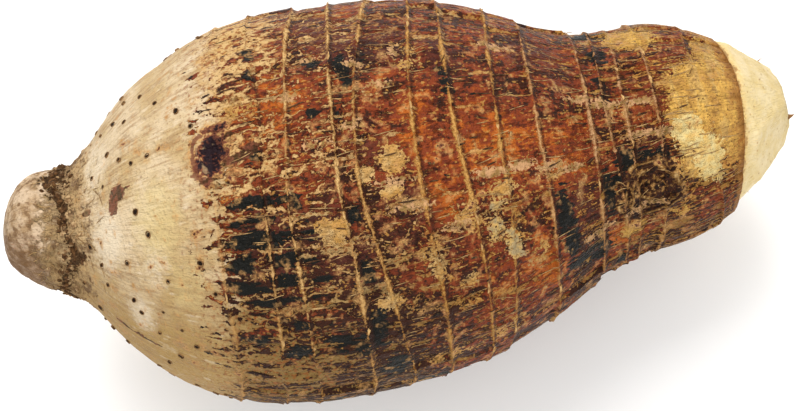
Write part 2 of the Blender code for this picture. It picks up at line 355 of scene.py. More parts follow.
@dataclass
class Skin:
    """The whole surface of the corm: knob, collar, shoulder, ringed bark, neck and trimmed point."""

    form: CormForm
    columns: int = 300
    rows: int = 320
    ring_steps: tuple[float, ...] = (-1.7, -1.0, -0.5, 0.0, 0.4, 0.9, 1.6)
    edge_steps: tuple[float, ...] = (-1.0, -0.5, 0.0, 0.3, 0.8)
    grain_radius: float = 50.0
    plate_width: float = 11.0
    plate_shift: float = 0.37
    plate_step: float = 0.35
    plate_unevenness: float = 0.9
    ring_height: float = 0.32
    ring_half_width: float = 1.3
    lip_height: float = 0.16
    lip_half_width: float = 0.5
    groove_depth: float = 0.25
    crack_depth: float = 0.35
    crack_half_width: float = 0.8
    collar: Pair = (11.0, 25.0)
    collar_roughness: float = 2.2
    worn_angle: float = 172.0
    worn_depth: float = 2.5
    side_bud: Pair = (179.0, 131.0)
    side_bud_radius: float = 7.5
    side_bud_edge: float = 13.0
    scale_width: float = 3.1
    small_bud: Pair = (182.5, 167.0)
    bark_from: float = 50.0
    bark_start: Table = (
        (50, 0), (56, 0.10), (61, 0.34), (66, 0.55), (85, 0.65), (98, 0.70), (108, 0.82), (140, 0.90),
        (160, 0.80), (176, 0.72), (188, 0.62), (196, 0.42), (205, 0.26), (212, 0.36),
    )
    # How strongly the -Y flank and the underside are darkened and browned, by angle from the top: partly
    # painted shade of the side away from the key light, partly browner skin
    low_side_shade_and_brown: Table = (
        (-180, 0.45), (-110, 0.35), (-60, 0.10), (-35, 0), (12, 0), (32, 0.28), (70, 0.75),
        (100, 1), (135, 0.80), (180, 0.45),
    )
    collar_path: Table = (
        (0, 17, 2.2), (20, 16.5, 2.6), (50, 15.5, 3), (64, 15.3, 2.9), (74, 16, 1.6),
        (82, 18.4, 1.7), (90, 18.2, 0.8), (98, 17.8, 1.6), (104, 18, 1.4), (110, 19.2, 0.7),
        (118, 21, 1.8), (126, 21.8, 2.5), (135, 20.2, 1.6), (146, 18.4, 1.9), (153, 18, 0.9),
        (168, 17, 2.2), (184, 18, 1), (202, 18.5, 2.6), (218, 19.5, 0.9), (240, 20, 2.3),
        (260, 18.5, 0.8), (280, 17.5, 2.5), (299, 18.5, 0.9), (320, 19, 2.3), (342, 18, 1),
        (360, 17, 2.2),
    )
    eye: Blotch = Blotch(60.6, 85.0, 4.2, 6.2)
    blotches: dict[Cover, tuple[Blotch, ...]] = field(default_factory=dict)
    place: np.ndarray = field(init=False, repr=False)
    angle: np.ndarray = field(init=False, repr=False)
    station: np.ndarray = field(init=False, repr=False)
    around: np.ndarray = field(init=False, repr=False)

    def places(self) -> np.ndarray:
        """Places of all rows from the knob's end to the tip, closest together at the leaf scars."""
        form = self.form
        cap = [form.knob_cap_length * (1 - math.cos(math.radians(9 * i))) for i in range(11)]
        fixed = set(round(place, 4) for place in cap)
        for ring in form.rings:
            fixed |= {round(ring.place + step, 4) for step in self.ring_steps}
        fixed |= {round(form.skin_edge.place + step, 4) for step in self.edge_steps}
        fixed.add(form.tip_station)
        kept = sorted(fixed)
        gaps = np.diff(kept)
        counts = np.ones(len(gaps), int)
        while counts.sum() < self.rows:
            counts[np.argmax(gaps / counts)] += 1
        rows = [kept[0]]
        for start, gap, count in zip(kept[:-1], gaps, counts):
            rows += [start + gap * (i + 1) / count for i in range(count)]
        return np.array(rows)

    def build(self) -> Piece:
        """Makes the skin.

        Returns:
            The finished piece, in its place.
        """
        bpy.ops.mesh.primitive_uv_sphere_add(segments=self.columns, ring_count=self.rows, radius=1)
        piece = bpy.context.object
        piece.name = "corm_skin"
        mesh = piece.data
        mesh.name = "corm_skin"
        mesh.uv_layers[0].name = "OFBake"
        blank = np.empty(len(mesh.vertices) * 3)
        mesh.vertices.foreach_get("co", blank)
        blank = blank.reshape(-1, 3)
        row = np.rint((1 - np.arccos(np.clip(blank[:, 2], -1, 1)) / math.pi) * self.rows).astype(int)
        self.place = self.places()[row]
        self.angle = np.arctan2(blank[:, 1], blank[:, 0])
        self.station = self.form.station_of(self.place, self.angle)
        self.around = self.angle / (2 * math.pi)
        points = self.surface()
        points[:, 2] = np.maximum(points[:, 2], 0)
        mesh.vertices.foreach_set("co", (points * MM).ravel())
        self.write_attributes(mesh)
        self.write_plates(mesh)
        mesh.update()
        mesh.shade_smooth()
        return piece

    def surface(self) -> np.ndarray:
        """Points of the surface in millimetres, before its underside is made level."""
        form = self.form
        trimmed = self.place > form.skin_edge.place
        radius = np.where(trimmed, self.flesh_radius(), self.skin_radius())
        return form.on_line(self.station, radius, self.angle)

    def lumps(self, size: float, layer: int) -> np.ndarray:
        """Smooth noise at each vertex, with lumps of this size, from one of several unlike noises."""
        return self.form.noise_round(self.station, self.angle, size, layer)

    def across(self, degrees: float) -> np.ndarray:
        """Distance of each vertex round the skin from this angle."""
        return turned_by(self.angle, degrees) * self.form.outline_radius(self.station)

    def skin_radius(self) -> np.ndarray:
        """Radius of the skin with all that is raised on it or sunk in it."""
        form, station, angle = self.form, self.station, self.angle
        fade = np.clip(station / form.knob_cap_length, 0, 1)
        return (
            form.outline_radius(station)
            + fade * form.lump_height * self.lumps(form.lump_size, 0)
            + self.ring_relief()
            + self.plate_relief()
            + form.bud_relief(station, angle)
            + self.knob_relief()
            + self.collar_relief()
            + self.shoulder_relief()
            + self.eye_relief()
            + self.bud_swirl()
        )

    def flesh_radius(self) -> np.ndarray:
        """Radius of the trimmed point, with the fine waviness that a knife leaves."""
        wave = 0.25 * self.lumps(6, 8)
        ridge = 0.12 * self.lumps(2.2, 9)
        return np.maximum(self.form.cut_radius(self.station, self.angle) + wave + ridge, 0.05)

    def ring_gap(self) -> np.ndarray:
        """Signed distance along the corm to the nearest leaf scar, more than zero on its neck side."""
        rings = np.array([ring.place for ring in self.form.rings])
        gaps = self.place[:, None] - rings[None, :]
        nearest = np.abs(gaps).argmin(axis=1)
        return gaps[np.arange(len(gaps)), nearest]

    def bands(self, place: np.ndarray) -> np.ndarray:
        """Number of the band between two leaf scars that each place lies in, 0 before the first."""
        return np.searchsorted([ring.place for ring in self.form.rings], place, side="right")

    def plate_turns(self, band: np.ndarray, around: np.ndarray) -> np.ndarray:
        """How many plates of bark lie before a point, round its band.

        Args:
            band: Number of the band.
            around: Turn round the middle line, 1 for a full turn.

        Returns:
            Count of plates, with the part of the plate that the point lies in as its fraction.
        """
        edges = [self.form.unleant_from_knob, *(ring.place for ring in self.form.rings)]
        edges.append(self.form.skin_edge.place)
        middles = np.array([(a + b) / 2 for a, b in zip(edges[:-1], edges[1:])])
        counts = np.rint(2 * math.pi * self.form.outline_radius(middles) / self.plate_width)
        index = np.clip(band, 0, len(counts) - 1)
        turn = 2 * math.pi * around
        spot = np.stack([index * 3.1, 3.6 * np.cos(turn), 3.6 * np.sin(turn)], -1)
        uneven = self.plate_unevenness * noise_at(spot)
        return (around + self.plate_shift * index) * counts[index] + uneven

    def ring_relief(self) -> np.ndarray:
        """Height of the leaf scars: a low ridge, a thin lip on it and a groove behind the lip."""
        gap = self.ring_gap()
        uneven = self.lumps(12, 2)
        ragged = self.lumps(3.2, 4)
        ridge = self.ring_height * (1 + 0.9 * uneven) * bell(gap, self.ring_half_width)
        lip = self.lip_height * (1 + 1.4 * ragged) * bell(gap, self.lip_half_width)
        groove = self.groove_depth * (1 + uneven) * bell(gap - 1.5, 0.8)
        kept = 1 - 0.8 * np.clip(self.blotch_field(self.blotches.get(Cover.LINE, ())), 0, 1)
        return kept * (ridge + lip - groove)

    def plate_relief(self) -> np.ndarray:
        """Plates of bark, each a little higher or lower than the next, with a crack between two."""
        form = self.form
        band = self.bands(self.place)
        turns = self.plate_turns(band, self.around)
        spot = np.stack([band + 0.5, np.floor(turns) % 97 + 0.5, np.full(len(band), form.seed + 0.5)], -1)
        step = self.plate_step * cell_noise_at(spot)
        apart = np.abs(turns - np.rint(turns)) * self.plate_width
        crack = self.crack_depth * bell(apart, self.crack_half_width)
        streak = 0.22 * self.streak(9, 2.2, 5) + 0.14 * self.streak(6, 1.4, 6)
        in_bark = step_up(self.place, 60, 66)
        return in_bark * (step - crack + streak)

    def streak(self, length: float, width: float, layer: int) -> np.ndarray:
        """Noise that runs lengthwise: its lumps are this long and this wide."""
        radius = self.form.outline_radius(self.station) / width
        spot = np.stack([self.place / length, radius * np.cos(self.angle), radius * np.sin(self.angle)], -1)
        spot[:, 2] += 13.3 * layer
        return noise_at(spot)

    def collar_reach(self) -> np.ndarray:
        """How deep in the dark crumbs of the collar each vertex lies: 1 at the middle, 0.5 at the edge."""
        centre, half = band_at(self.collar_path, np.degrees(self.angle) % 360)
        ragged = 0.35 * self.lumps(4.0, 16)
        return np.clip(1 - np.abs(self.station - centre) / (2 * half) + ragged * (self.station > 9), 0, 1)

    def knob_relief(self) -> np.ndarray:
        """The knob's worn lower edge and its wrinkles."""
        facing = np.clip(np.cos(turned_by(self.angle, self.worn_angle)), 0, 1) ** 1.5
        worn = self.worn_depth * facing * bell(self.station - 7.0, 6.0) * step_up(self.station, 0.3, 3.5)
        on_knob = step_up(self.station, 0.5, 3.0) * (1 - step_up(self.station, 12, 18))
        wrinkle = 0.38 * self.streak(5.0, 2.0, 18) + 0.30 * self.lumps(2.0, 19)
        return on_knob * wrinkle - worn

    def collar_relief(self) -> np.ndarray:
        """Crumbly break between knob and shoulder: broad crumbs with smaller ones on them."""
        start, end = self.collar
        inside = np.sin(math.pi * np.clip((self.station - start) / (end - start), 0, 1))
        broad = self.lumps(4.5, 3)
        small = self.lumps(2.0, 10)
        return inside * (self.collar_roughness * broad + 1.0 * small)

    def shoulder_relief(self) -> np.ndarray:
        """Lengthwise ripples and faint cross wrinkles of the pale shoulder."""
        on_shoulder = step_up(self.station, 24, 34) * (1 - step_up(self.place, 58, 66))
        ripple = 0.20 * self.streak(14, 2.6, 7) + 0.10 * self.streak(5, 1.6, 11)
        wrinkle = 0.10 * self.lumps(1.9, 12)
        return on_shoulder * (ripple + wrinkle)

    def eye_distance(self) -> np.ndarray:
        """Distance from the middle of the dark eye, 1 at its edge."""
        along = (self.station - self.eye.station) / self.eye.half_length
        return np.hypot(along, self.across(self.eye.angle) / self.eye.half_width)

    def eye_relief(self) -> np.ndarray:
        """The dark sunken eye at the edge of the bark, with a raised rim."""
        apart = self.eye_distance()
        ragged = self.lumps(2.4, 13)
        pit = 1.5 * bell(apart, 0.75) - 0.9 * ragged * bell(apart, 1.0)
        return 0.6 * bell(apart - 1.25, 0.3) - pit + 0.4 * self.eye_arcs()

    def eye_arcs(self) -> np.ndarray:
        """Crater rim on the knob's side of the eye: 1 on its crescent, -1 on the dark arc outside it."""
        uneven = 0.35 * self.lumps(3.2, 20)
        apart = self.eye_distance() + uneven
        below = turned_by(self.angle, self.eye.angle - 6) > 0
        facing = step_up(self.eye.station - self.station, 0.4, 2.6) * np.where(below, 1.0, 0.55)
        return facing * (bell(apart - 0.98, 0.16) - bell(apart - 1.36, 0.17))

    def bud_scales(self) -> tuple[np.ndarray, np.ndarray]:
        """Distance from the side bud's middle, and the torn edges of its uneven overlapping scales."""
        station, degrees = self.side_bud
        along, across = 0.95 * (self.station - station), 1.1 * self.across(degrees)
        apart = np.hypot(along, across)
        uneven = 3.4 * self.lumps(7.0, 14)
        uneven += 0.9 * self.lumps(3.0, 17)
        phase = (apart + uneven) / self.scale_width + np.arctan2(across, along) / (2 * math.pi)
        edges = bell(phase - np.floor(phase) - 0.5, 0.2)
        torn = step_up(self.lumps(4.5, 15), -0.3, 0.0)
        return apart, edges * torn

    def bud_swirl(self) -> np.ndarray:
        """Overlapping scales of the side bud on the neck, and the small ring bud beside it."""
        apart, crests = self.bud_scales()
        scales = 0.9 * crests * (1 - step_up(apart, self.side_bud_radius, 11.5))
        station, degrees = self.small_bud
        small = np.hypot(self.station - station, self.across(degrees))
        return scales + 0.7 * bell(small - 2.1, 0.7) - 0.6 * bell(small, 1.2)

    def blotch_field(self, blotches: Sequence[Blotch]) -> np.ndarray:
        """How strongly these blotches cover each vertex: full at the middle, and nothing beyond the edge."""
        reach = np.zeros_like(self.station)
        radius = np.maximum(self.form.outline_radius(self.station), 1)
        for spot in blotches:
            along = (self.station - spot.station) / spot.half_length
            across = turned_by(self.angle, spot.angle) * radius / spot.half_width
            inside = np.clip(1.45 - np.hypot(along, across), 0, 1) * spot.strength
            reach = np.where(np.abs(inside) > np.abs(reach), inside, reach)
        return reach

    def write_attributes(self, mesh: bpy.types.Mesh) -> None:
        """Writes what the material reads at each vertex.

        Args:
            mesh: The skin's mesh.
        """
        turn, radius = self.angle, self.grain_radius
        grain = np.stack([self.place, radius * np.cos(turn), radius * np.sin(turn)], -1)
        layer = mesh.attributes.new("grain", "FLOAT_VECTOR", "POINT")
        layer.data.foreach_set("vector", grain.ravel())
        gap = self.ring_gap()
        apart, curl = self.bud_scales()
        from_top = np.degrees(turned_by(turn, 80))
        fields = {
            "bud": 1 - step_up(apart, self.side_bud_radius, self.side_bud_edge),
            "swirl": curl,
            "eye": np.clip(1 - 0.5 * self.eye_distance(), 0, 1),
            "eye_arc": self.eye_arcs(),
            "collar": self.collar_reach(),
            "ring_near": np.minimum(np.abs(gap), 9),
            "ring_side": np.clip(gap / 0.6, -1, 1),
            "station": self.station,
            "flesh": (self.place > self.form.skin_edge.place + 0.05).astype(float),
            # low: the -Y flank and underside, which the material darkens and browns: partly painted shade,
            # partly browner skin
            "low": smooth_through(self.low_side_shade_and_brown, from_top),
        }
        for cover in Cover:
            fields[cover.value] = self.blotch_field(self.blotches.get(cover, ()))
        bark = smooth_through(self.bark_start, self.place)
        bark = np.clip(bark + fields[Cover.BARK.value], 0, 1.2)
        fields[Cover.BARK.value] = bark * (self.place > self.bark_from)
        for name, values in fields.items():
            layer = mesh.attributes.new(name, "FLOAT", "POINT")
            layer.data.foreach_set("value", values)

    def write_plates(self, mesh: bpy.types.Mesh) -> None:
        """Writes the plates of bark as a UV map: plates counted round the band, and the band's number.

        Args:
            mesh: The skin's mesh.
        """
        corner = np.empty(len(mesh.loops), int)
        mesh.loops.foreach_get("vertex_index", corner)
        start = np.empty(len(mesh.polygons), int)
        total = np.empty(len(mesh.polygons), int)
        mesh.polygons.foreach_get("loop_start", start)
        mesh.polygons.foreach_get("loop_total", total)
        face = np.repeat(np.arange(len(total)), total)
        place = self.place[corner]
        around = self.around[corner]
        middle = np.add.reduceat(place, start) / total
        lowest = np.minimum.reduceat(around, start)
        wraps = np.maximum.reduceat(around, start) - lowest > 0.5
        around = np.where(wraps[face] & (around < 0), around + 1, around)
        band = self.bands(middle)[face]
        turns = self.plate_turns(band, around)
        layer = mesh.uv_layers.new(name="plates", do_init=False)
        layer.data.foreach_set("uv", np.stack([turns, band.astype(float)], -1).ravel())


@dataclass(frozen=True)
class Spot:
    """A point of the skin: where it is, the way out of the skin there, and the way to the neck."""

    point: Vector
    outward: Vector
    forward: Vector


class SkinSurface:
    """Finds points on the finished skin, so that small pieces sit on it."""

    def __init__(self, form: CormForm, skin: Piece) -> None:
        """Reads the skin once.

        Args:
            form: The corm's shape.
            skin: The finished skin.
        """
        self.form = form
        self.tree = BVHTree.FromObject(skin, bpy.context.evaluated_depsgraph_get())

    def line_point(self, station: float, radius: float, degrees: float) -> Vector:
        """Point in metres at this station, this many millimetres out."""
        values = (np.array([station]), np.array([radius]), np.array([math.radians(degrees)]))
        return Vector(self.form.on_line(*values)[0]) * MM

    def radius(self, station: float) -> float:
        """Radius of the corm's plain outline at a station, in millimetres."""
        return float(self.form.outline_radius(np.array([station]))[0])

    def at(self, station: float, degrees: float) -> Spot:
        """Spot of the skin at a station and an angle.

        Args:
            station: Distance from the knob's end.
            degrees: Angle round the middle line.

        Returns:
            The spot.
        """
        centre = self.line_point(station, 0, degrees)
        outside = self.line_point(station, 90, degrees)
        point, normal, _, _ = self.tree.ray_cast(outside, centre - outside)
        forward = self.line_point(station + 1, 0, degrees) - self.line_point(station - 1, 0, degrees)
        return Spot(point, normal, forward.normalized())

    def on_ring(self, ring: Ring, gap: float, degrees: float) -> Spot:
        """Spot this far to the neck side of a leaf scar."""
        place, angle = np.array([ring.place + gap]), np.array([math.radians(degrees)])
        return self.at(float(self.form.station_of(place, angle)[0]), degrees)


def start_edit(kind: str) -> None:
    """Opens the piece that was just added in edit mode, with no face or edge selected."""
    bpy.ops.object.mode_set(mode="EDIT")
    bpy.ops.mesh.select_mode(type=kind)
    bpy.ops.mesh.select_all(action="DESELECT")


def select_by(piece: Piece, test: Callable[[bmesh.types.BMFace], bool]) -> None:
    """Selects the faces that pass a test, in edit mode.

    Args:
        piece: The piece in edit mode.
        test: Says for each face whether it is selected.
    """
    work = bmesh.from_edit_mesh(piece.data)
    for face in work.faces:
        face.select_set(test(face))
    bmesh.update_edit_mesh(piece.data)


def cut_long_edges(rod: Piece, axis: int, cuts: int) -> None:
    """Cuts the long edges of a rod, so that it can bend.

    Args:
        rod: The rod, which was just added and is a millimetre long.
        axis: The axis that it lies along: 0 for X, 2 for Z.
        cuts: How often each edge is cut.
    """
    start_edit("EDGE")
    work = bmesh.from_edit_mesh(rod.data)
    for edge in work.edges:
        run = edge.verts[0].co - edge.verts[1].co
        edge.select_set(abs(run[axis]) > 0.5 * MM)
    bmesh.update_edit_mesh(rod.data)
    bpy.ops.mesh.subdivide(number_cuts=cuts)
    bpy.ops.object.mode_set(mode="OBJECT")


@dataclass
class Scatter:
    """A small piece that is modelled once and copied over the skin."""

    surface: SkinSurface
    name: str
    seed: int
    clearance: float = 1.5
    draw: random.Random = field(init=False, repr=False)
    copies: list[Piece] = field(init=False, default_factory=list)

    def __post_init__(self) -> None:
        """Starts the seeded random draws."""
        self.draw = random.Random(self.seed)

    def frame(self, spot: Spot, turn: float, lean: float, size: Sequence[float], sink: float) -> Matrix:
        """Where a copy goes: its X along the corm, its Z out of the skin.

        Args:
            spot: The spot that it sits on.
            turn: How far it turns about the way out, in degrees.
            lean: How far it then leans about its own Y axis, in degrees.
            size: Its scale along its three axes.
            sink: How far it sinks into the skin, in millimetres.

        Returns:
            The matrix for its mesh.
        """
        across = spot.outward.cross(spot.forward).normalized()
        along = across.cross(spot.outward)
        axes = Matrix((along, across, spot.outward)).transposed()
        turned = axes @ Matrix.Rotation(math.radians(turn), 3, "Z")
        leant = turned @ Matrix.Rotation(math.radians(lean), 3, "Y")
        placed = (leant @ Matrix.Diagonal(size)).to_4x4()
        placed.translation = spot.point - spot.outward * sink * MM
        return placed

    def underneath(self, spot: Spot) -> bool:
        """True where the corm rests on the floor or nearly so."""
        return spot.point.z < self.clearance * MM

    def add(self, master: Piece, placed: Matrix) -> Piece:
        """Adds a copy with its own mesh, its place in the mesh."""
        mesh = master.data.copy()
        mesh.transform(placed)
        copy = bpy.data.objects.new(self.name, mesh)
        bpy.context.scene.collection.objects.link(copy)
        self.copies.append(copy)
        return copy

    def finish(self, masters: Sequence[Piece], smooth: bool) -> Piece:
        """Joins the copies to one piece.

        Args:
            masters: What was copied, which is removed.
            smooth: True for smooth shading.

        Returns:
            The finished piece.
        """
        for master in masters:
            bpy.data.objects.remove(master, do_unlink=True)
        bpy.ops.object.select_all(action="DESELECT")
        for copy in self.copies:
            copy.select_set(True)
        bpy.context.view_layer.objects.active = self.copies[0]
        bpy.ops.object.join()
        piece = self.copies[0]
        for vertex in piece.data.vertices:
            vertex.co.z = max(vertex.co.z, 0)
        piece.name = piece.data.name = self.name
        if smooth:
            piece.data.shade_smooth()
        else:
            piece.data.shade_flat()
        piece.select_set(False)
        return piece


@dataclass
class RootStubs(Scatter):
    """Short hollow stubs on the shoulder, where roots broke off."""

    seen: Table = (
        (33.3, 44), (36.7, 52), (36.8, 36), (31.4, 64), (34.9, 73), (38.2, 78), (26.7, 71), (29.9, 82),
        (42.8, 78), (41.9, 44), (46.2, 56), (29.4, 41), (38.7, 99), (41.5, 108), (28.6, 125),
        (35.4, 120), (25.5, 116), (23.3, 147), (36.5, 137), (43.6, 138), (29.8, 136), (27.1, 163),
        (38.2, 142), (45.5, 125), (42.3, 149), (47.8, 144), (46.9, 158), (44, 166), (54, 118),
        (52, 66), (55.5, 74), (57, 128), (51, 150),
    )
    unseen_count: int = 110
    unseen_stations: Pair = (24, 62)
    unseen_angles: Pair = (172, 388)
    most_tries: int = 9000
    radius: float = 0.72
    depth: float = 1.2
    flare: float = 0.82
    wall: float = 0.22
    hollow_depth: float = 0.45
    hollow_share: float = 0.62
    gap: float = 3.4
    widths: Pair = (0.7, 1.45)
    stretches: Pair = (1.0, 1.35)
    heights: Pair = (0.5, 1.0)
    lean: float = 8
    sink: float = 0.1
    core_edge: float = 0.14
    core_rise: float = 0.18

    def master(self) -> Piece:
        """Models one stub: a short flared tube with a sunken middle."""
        bpy.ops.mesh.primitive_cylinder_add(vertices=8, radius=self.radius * MM, depth=self.depth * MM)
        stub = bpy.context.object
        start_edit("FACE")
        select_by(stub, lambda face: face.normal.z > 0.9)
        bpy.ops.transform.resize(value=(self.flare, self.flare, 1))
        bpy.ops.mesh.inset(thickness=self.wall * MM)
        bpy.ops.transform.translate(value=(0, 0, -self.hollow_depth * MM))
        bpy.ops.mesh.inset(thickness=self.core_edge * MM)
        bpy.ops.transform.translate(value=(0, 0, self.core_rise * MM))
        bpy.ops.object.mode_set(mode="OBJECT")
        layer = stub.data.attributes.new("hollow", "FLOAT", "POINT")
        for vertex in stub.data.vertices:
            away = math.hypot(vertex.co.x, vertex.co.y) / MM
            layer.data[vertex.index].value = 1.0 if away < self.hollow_share * self.radius else 0.0
        return stub

    def places(self) -> list[Pair]:
        """Stations and angles of all stubs."""
        found = list(self.seen)
        tries = 0
        while len(found) < len(self.seen) + self.unseen_count and tries < self.most_tries:
            tries += 1
            station = self.draw.uniform(*self.unseen_stations)
            degrees = self.draw.uniform(*self.unseen_angles)
            radius = self.surface.radius(station)
            turns = [float(turned_by(math.radians(degrees), other)) for _, other in found]
            near = [math.hypot(station - along, turn * radius) for (along, _), turn in zip(found, turns)]
            if min(near) > self.gap:
                found.append((station, degrees))
        return found

    def build(self) -> Piece:
        """Makes all stubs.

        Returns:
            The finished piece.
        """
        stub = self.master()
        for station, degrees in self.places():
            spot = self.surface.at(station, degrees)
            if self.underneath(spot):
                continue
            wide = self.draw.uniform(*self.widths)
            size = (wide * self.draw.uniform(*self.stretches), wide, self.draw.uniform(*self.heights))
            turn, lean = self.draw.uniform(0, 360), self.draw.uniform(-self.lean, self.lean)
            placed = self.frame(spot, turn, lean, size, self.sink)
            self.add(stub, placed)
        return self.finish([stub], smooth=False)


@dataclass
class CollarCrumbs(Scatter):
    """Crumbs of broken tissue on the collar between knob and shoulder."""

    count: int = 560
    stations: Pair = (10.5, 28.0)
    radii: Pair = (0.3, 0.95)
    shapes: int = 5
    widest_path: float = 2.6
    spread: float = 0.65
    roughness: Pair = (0.65, 1.3)
    stretches: Pair = (0.9, 1.6)
    heights: Pair = (0.5, 0.9)
    lean: float = 25
    sink_share: float = 0.15
    path: Table = ()

    def master(self) -> Piece:
        """Models one crumb: a small rough lump."""
        bpy.ops.mesh.primitive_ico_sphere_add(subdivisions=1, radius=MM)
        crumb = bpy.context.object
        for vertex in crumb.data.vertices:
            vertex.co *= self.draw.uniform(*self.roughness)
        return crumb

    def build(self) -> Piece:
        """Makes all crumbs.

        Returns:
            The finished piece.
        """
        masters = [self.master() for _ in range(self.shapes)]
        low, high = self.stations
        for _ in range(self.count):
            station = self.draw.triangular(low, high, (low + high) / 2)
            degrees = self.draw.uniform(0, 360)
            if self.path:
                centre, half = (float(value[0]) for value in band_at(self.path, np.array([degrees])))
                if self.draw.uniform(0, self.widest_path) > half:
                    continue
                station = self.draw.gauss(centre, self.spread * half)
            spot = self.surface.at(station, degrees)
            reach = self.draw.uniform(0, 1) ** 2
            radius = self.radii[0] + (self.radii[1] - self.radii[0]) * reach
            stretch, height = self.draw.uniform(*self.stretches), self.draw.uniform(*self.heights)
            turn, lean = self.draw.uniform(0, 360), self.draw.uniform(-self.lean, self.lean)
            size = (radius * stretch, radius, radius * height)
            placed = self.frame(spot, turn, lean, size, self.sink_share * radius)
            self.add(self.draw.choice(masters), placed)
        return self.finish(masters, smooth=False)


@dataclass
class Fibres(Scatter):
    """Thin dry fibres that lie on the skin, bent each in its own way."""

    count: int = 150
    stations: Pair = (9.0, 30.0)
    lengths: Pair = (2.5, 6.0)
    spread: float = 45.0
    radius: float = 0.13
    flat: float = 1.0
    curve: float = 0.10
    angles: Pair = (0.0, 360.0)
    lift: float = 0.25
    middle_lift: float = 0.4
    pull: float = 0.75
    lean: float = 5
    end_taper: float = 0.75

    def master(self) -> Piece:
        """Models one straight fibre, a millimetre long, along X."""
        bpy.ops.mesh.primitive_cylinder_add(
            vertices=4, radius=self.radius * MM, depth=MM, rotation=(0, math.radians(90), 0)
        )
        bpy.ops.object.transform_apply(location=True, rotation=True, scale=True)
        fibre = bpy.context.object
        cut_long_edges(fibre, axis=0, cuts=4)
        for vertex in fibre.data.vertices:
            taper = 1 - self.end_taper * abs(2 * vertex.co.x / MM) ** 2
            vertex.co.y *= taper
            vertex.co.z *= taper * self.flat
        return fibre

    def build(self) -> Piece:
        """Makes all fibres.

        Returns:
            The finished piece.
        """
        fibre = self.master()
        for _ in range(self.count):
            spot = self.surface.at(self.draw.uniform(*self.stations), self.draw.uniform(*self.angles))
            if self.underneath(spot):
                continue
            length = self.draw.uniform(*self.lengths)
            turn, lean = self.draw.gauss(0, self.spread), self.draw.uniform(-self.lean, self.lean)
            placed = self.frame(spot, turn, lean, (length, 1, 1), 0)
            copy = self.add(fibre, placed)
            self.bend(copy, spot, length)
        return self.finish([fibre], smooth=True)

    def bend(self, copy: Piece, spot: Spot, length: float) -> None:
        """Lays one fibre along the skin and curls it a little.

        Args:
            copy: The fibre.
            spot: The spot that its middle sits on.
            length: Its length in millimetres.
        """
        curl = self.draw.uniform(-self.curve, self.curve)
        across = spot.outward.cross(spot.forward).normalized()
        for vertex in copy.data.vertices:
            away = (vertex.co - spot.point).length / MM
            vertex.co += across * curl * away**2 * MM
            near, normal, _, _ = self.surface.tree.find_nearest(vertex.co)
            height = (vertex.co - near).dot(normal)
            rise = self.middle_lift + (1 - self.middle_lift) * (away / length) ** 2
            vertex.co += normal * (self.lift * MM * rise - self.pull * height)


@dataclass
class ScarFringe(Scatter):
    """Ragged dry flakes of old leaf base that stand along the leaf scars."""

    count: int = 170
    width: float = 3.4
    height: float = 0.6
    thickness: float = 0.12
    leans: Pair = (4, 16.0)
    shapes: int = 5
    end_taper: float = 0.8
    reaches: Pair = (0.65, 1.25)
    side_jitter: float = 0.2
    curl: float = 0.12
    roughness: float = 0.06
    gaps: Pair = (-0.3, 0.1)
    stretches: Pair = (0.6, 1.15)
    widths: Pair = (0.5, 1.2)
    turn: float = 5
    sink: float = 0.05
    worn_margin: float = 1.1
    skipped: tuple[Blotch, ...] = ()

    def master(self) -> Piece:
        """Models one flake: a thin curved strip across the corm with a ragged free edge."""
        bpy.ops.mesh.primitive_grid_add(x_subdivisions=2, y_subdivisions=5, size=1)
        flake = bpy.context.object
        for vertex in flake.data.vertices:
            free = vertex.co.x + 0.5
            end = 1 - abs(2 * vertex.co.y) ** 3 * self.end_taper
            reach = self.height * free * end * self.draw.uniform(*self.reaches)
            side = self.width * vertex.co.y + self.draw.uniform(-self.side_jitter, self.side_jitter) * free
            rise = self.curl * free * free + self.draw.uniform(-self.roughness, self.roughness)
            vertex.co = Vector((reach, side, rise)) * MM
        solid = flake.modifiers.new("thickness", "SOLIDIFY")
        solid.thickness = self.thickness * MM
        solid.offset = 0
        bpy.ops.object.modifier_apply(modifier="thickness")
        return flake

    def build(self) -> Piece:
        """Makes all flakes.

        Returns:
            The finished piece.
        """
        masters = [self.master() for _ in range(self.shapes)]
        rings = self.surface.form.rings
        weights = [self.surface.radius(ring.place) for ring in rings]
        for _ in range(self.count):
            ring = self.draw.choices(rings, weights)[0]
            degrees = self.draw.uniform(0, 360)
            if self.in_skipped(ring.place, degrees):
                continue
            spot = self.surface.on_ring(ring, self.draw.uniform(*self.gaps), degrees)
            if self.underneath(spot):
                continue
            size = (self.draw.uniform(*self.stretches), self.draw.uniform(*self.widths), 1)
            turn, lean = self.draw.gauss(0, self.turn), -self.draw.uniform(*self.leans)
            placed = self.frame(spot, turn, lean, size, self.sink)
            self.add(self.draw.choice(masters), placed)
        return self.finish(masters, smooth=False)

    def in_skipped(self, place: float, degrees: float) -> bool:
        """True where the leaf scars are worn away."""
        radius = self.surface.radius(place)
        for spot in self.skipped:
            across = float(turned_by(math.radians(degrees), spot.angle)) * radius / spot.half_width
            if math.hypot((place - spot.station) / spot.half_length, across) < self.worn_margin:
                return True
        return False


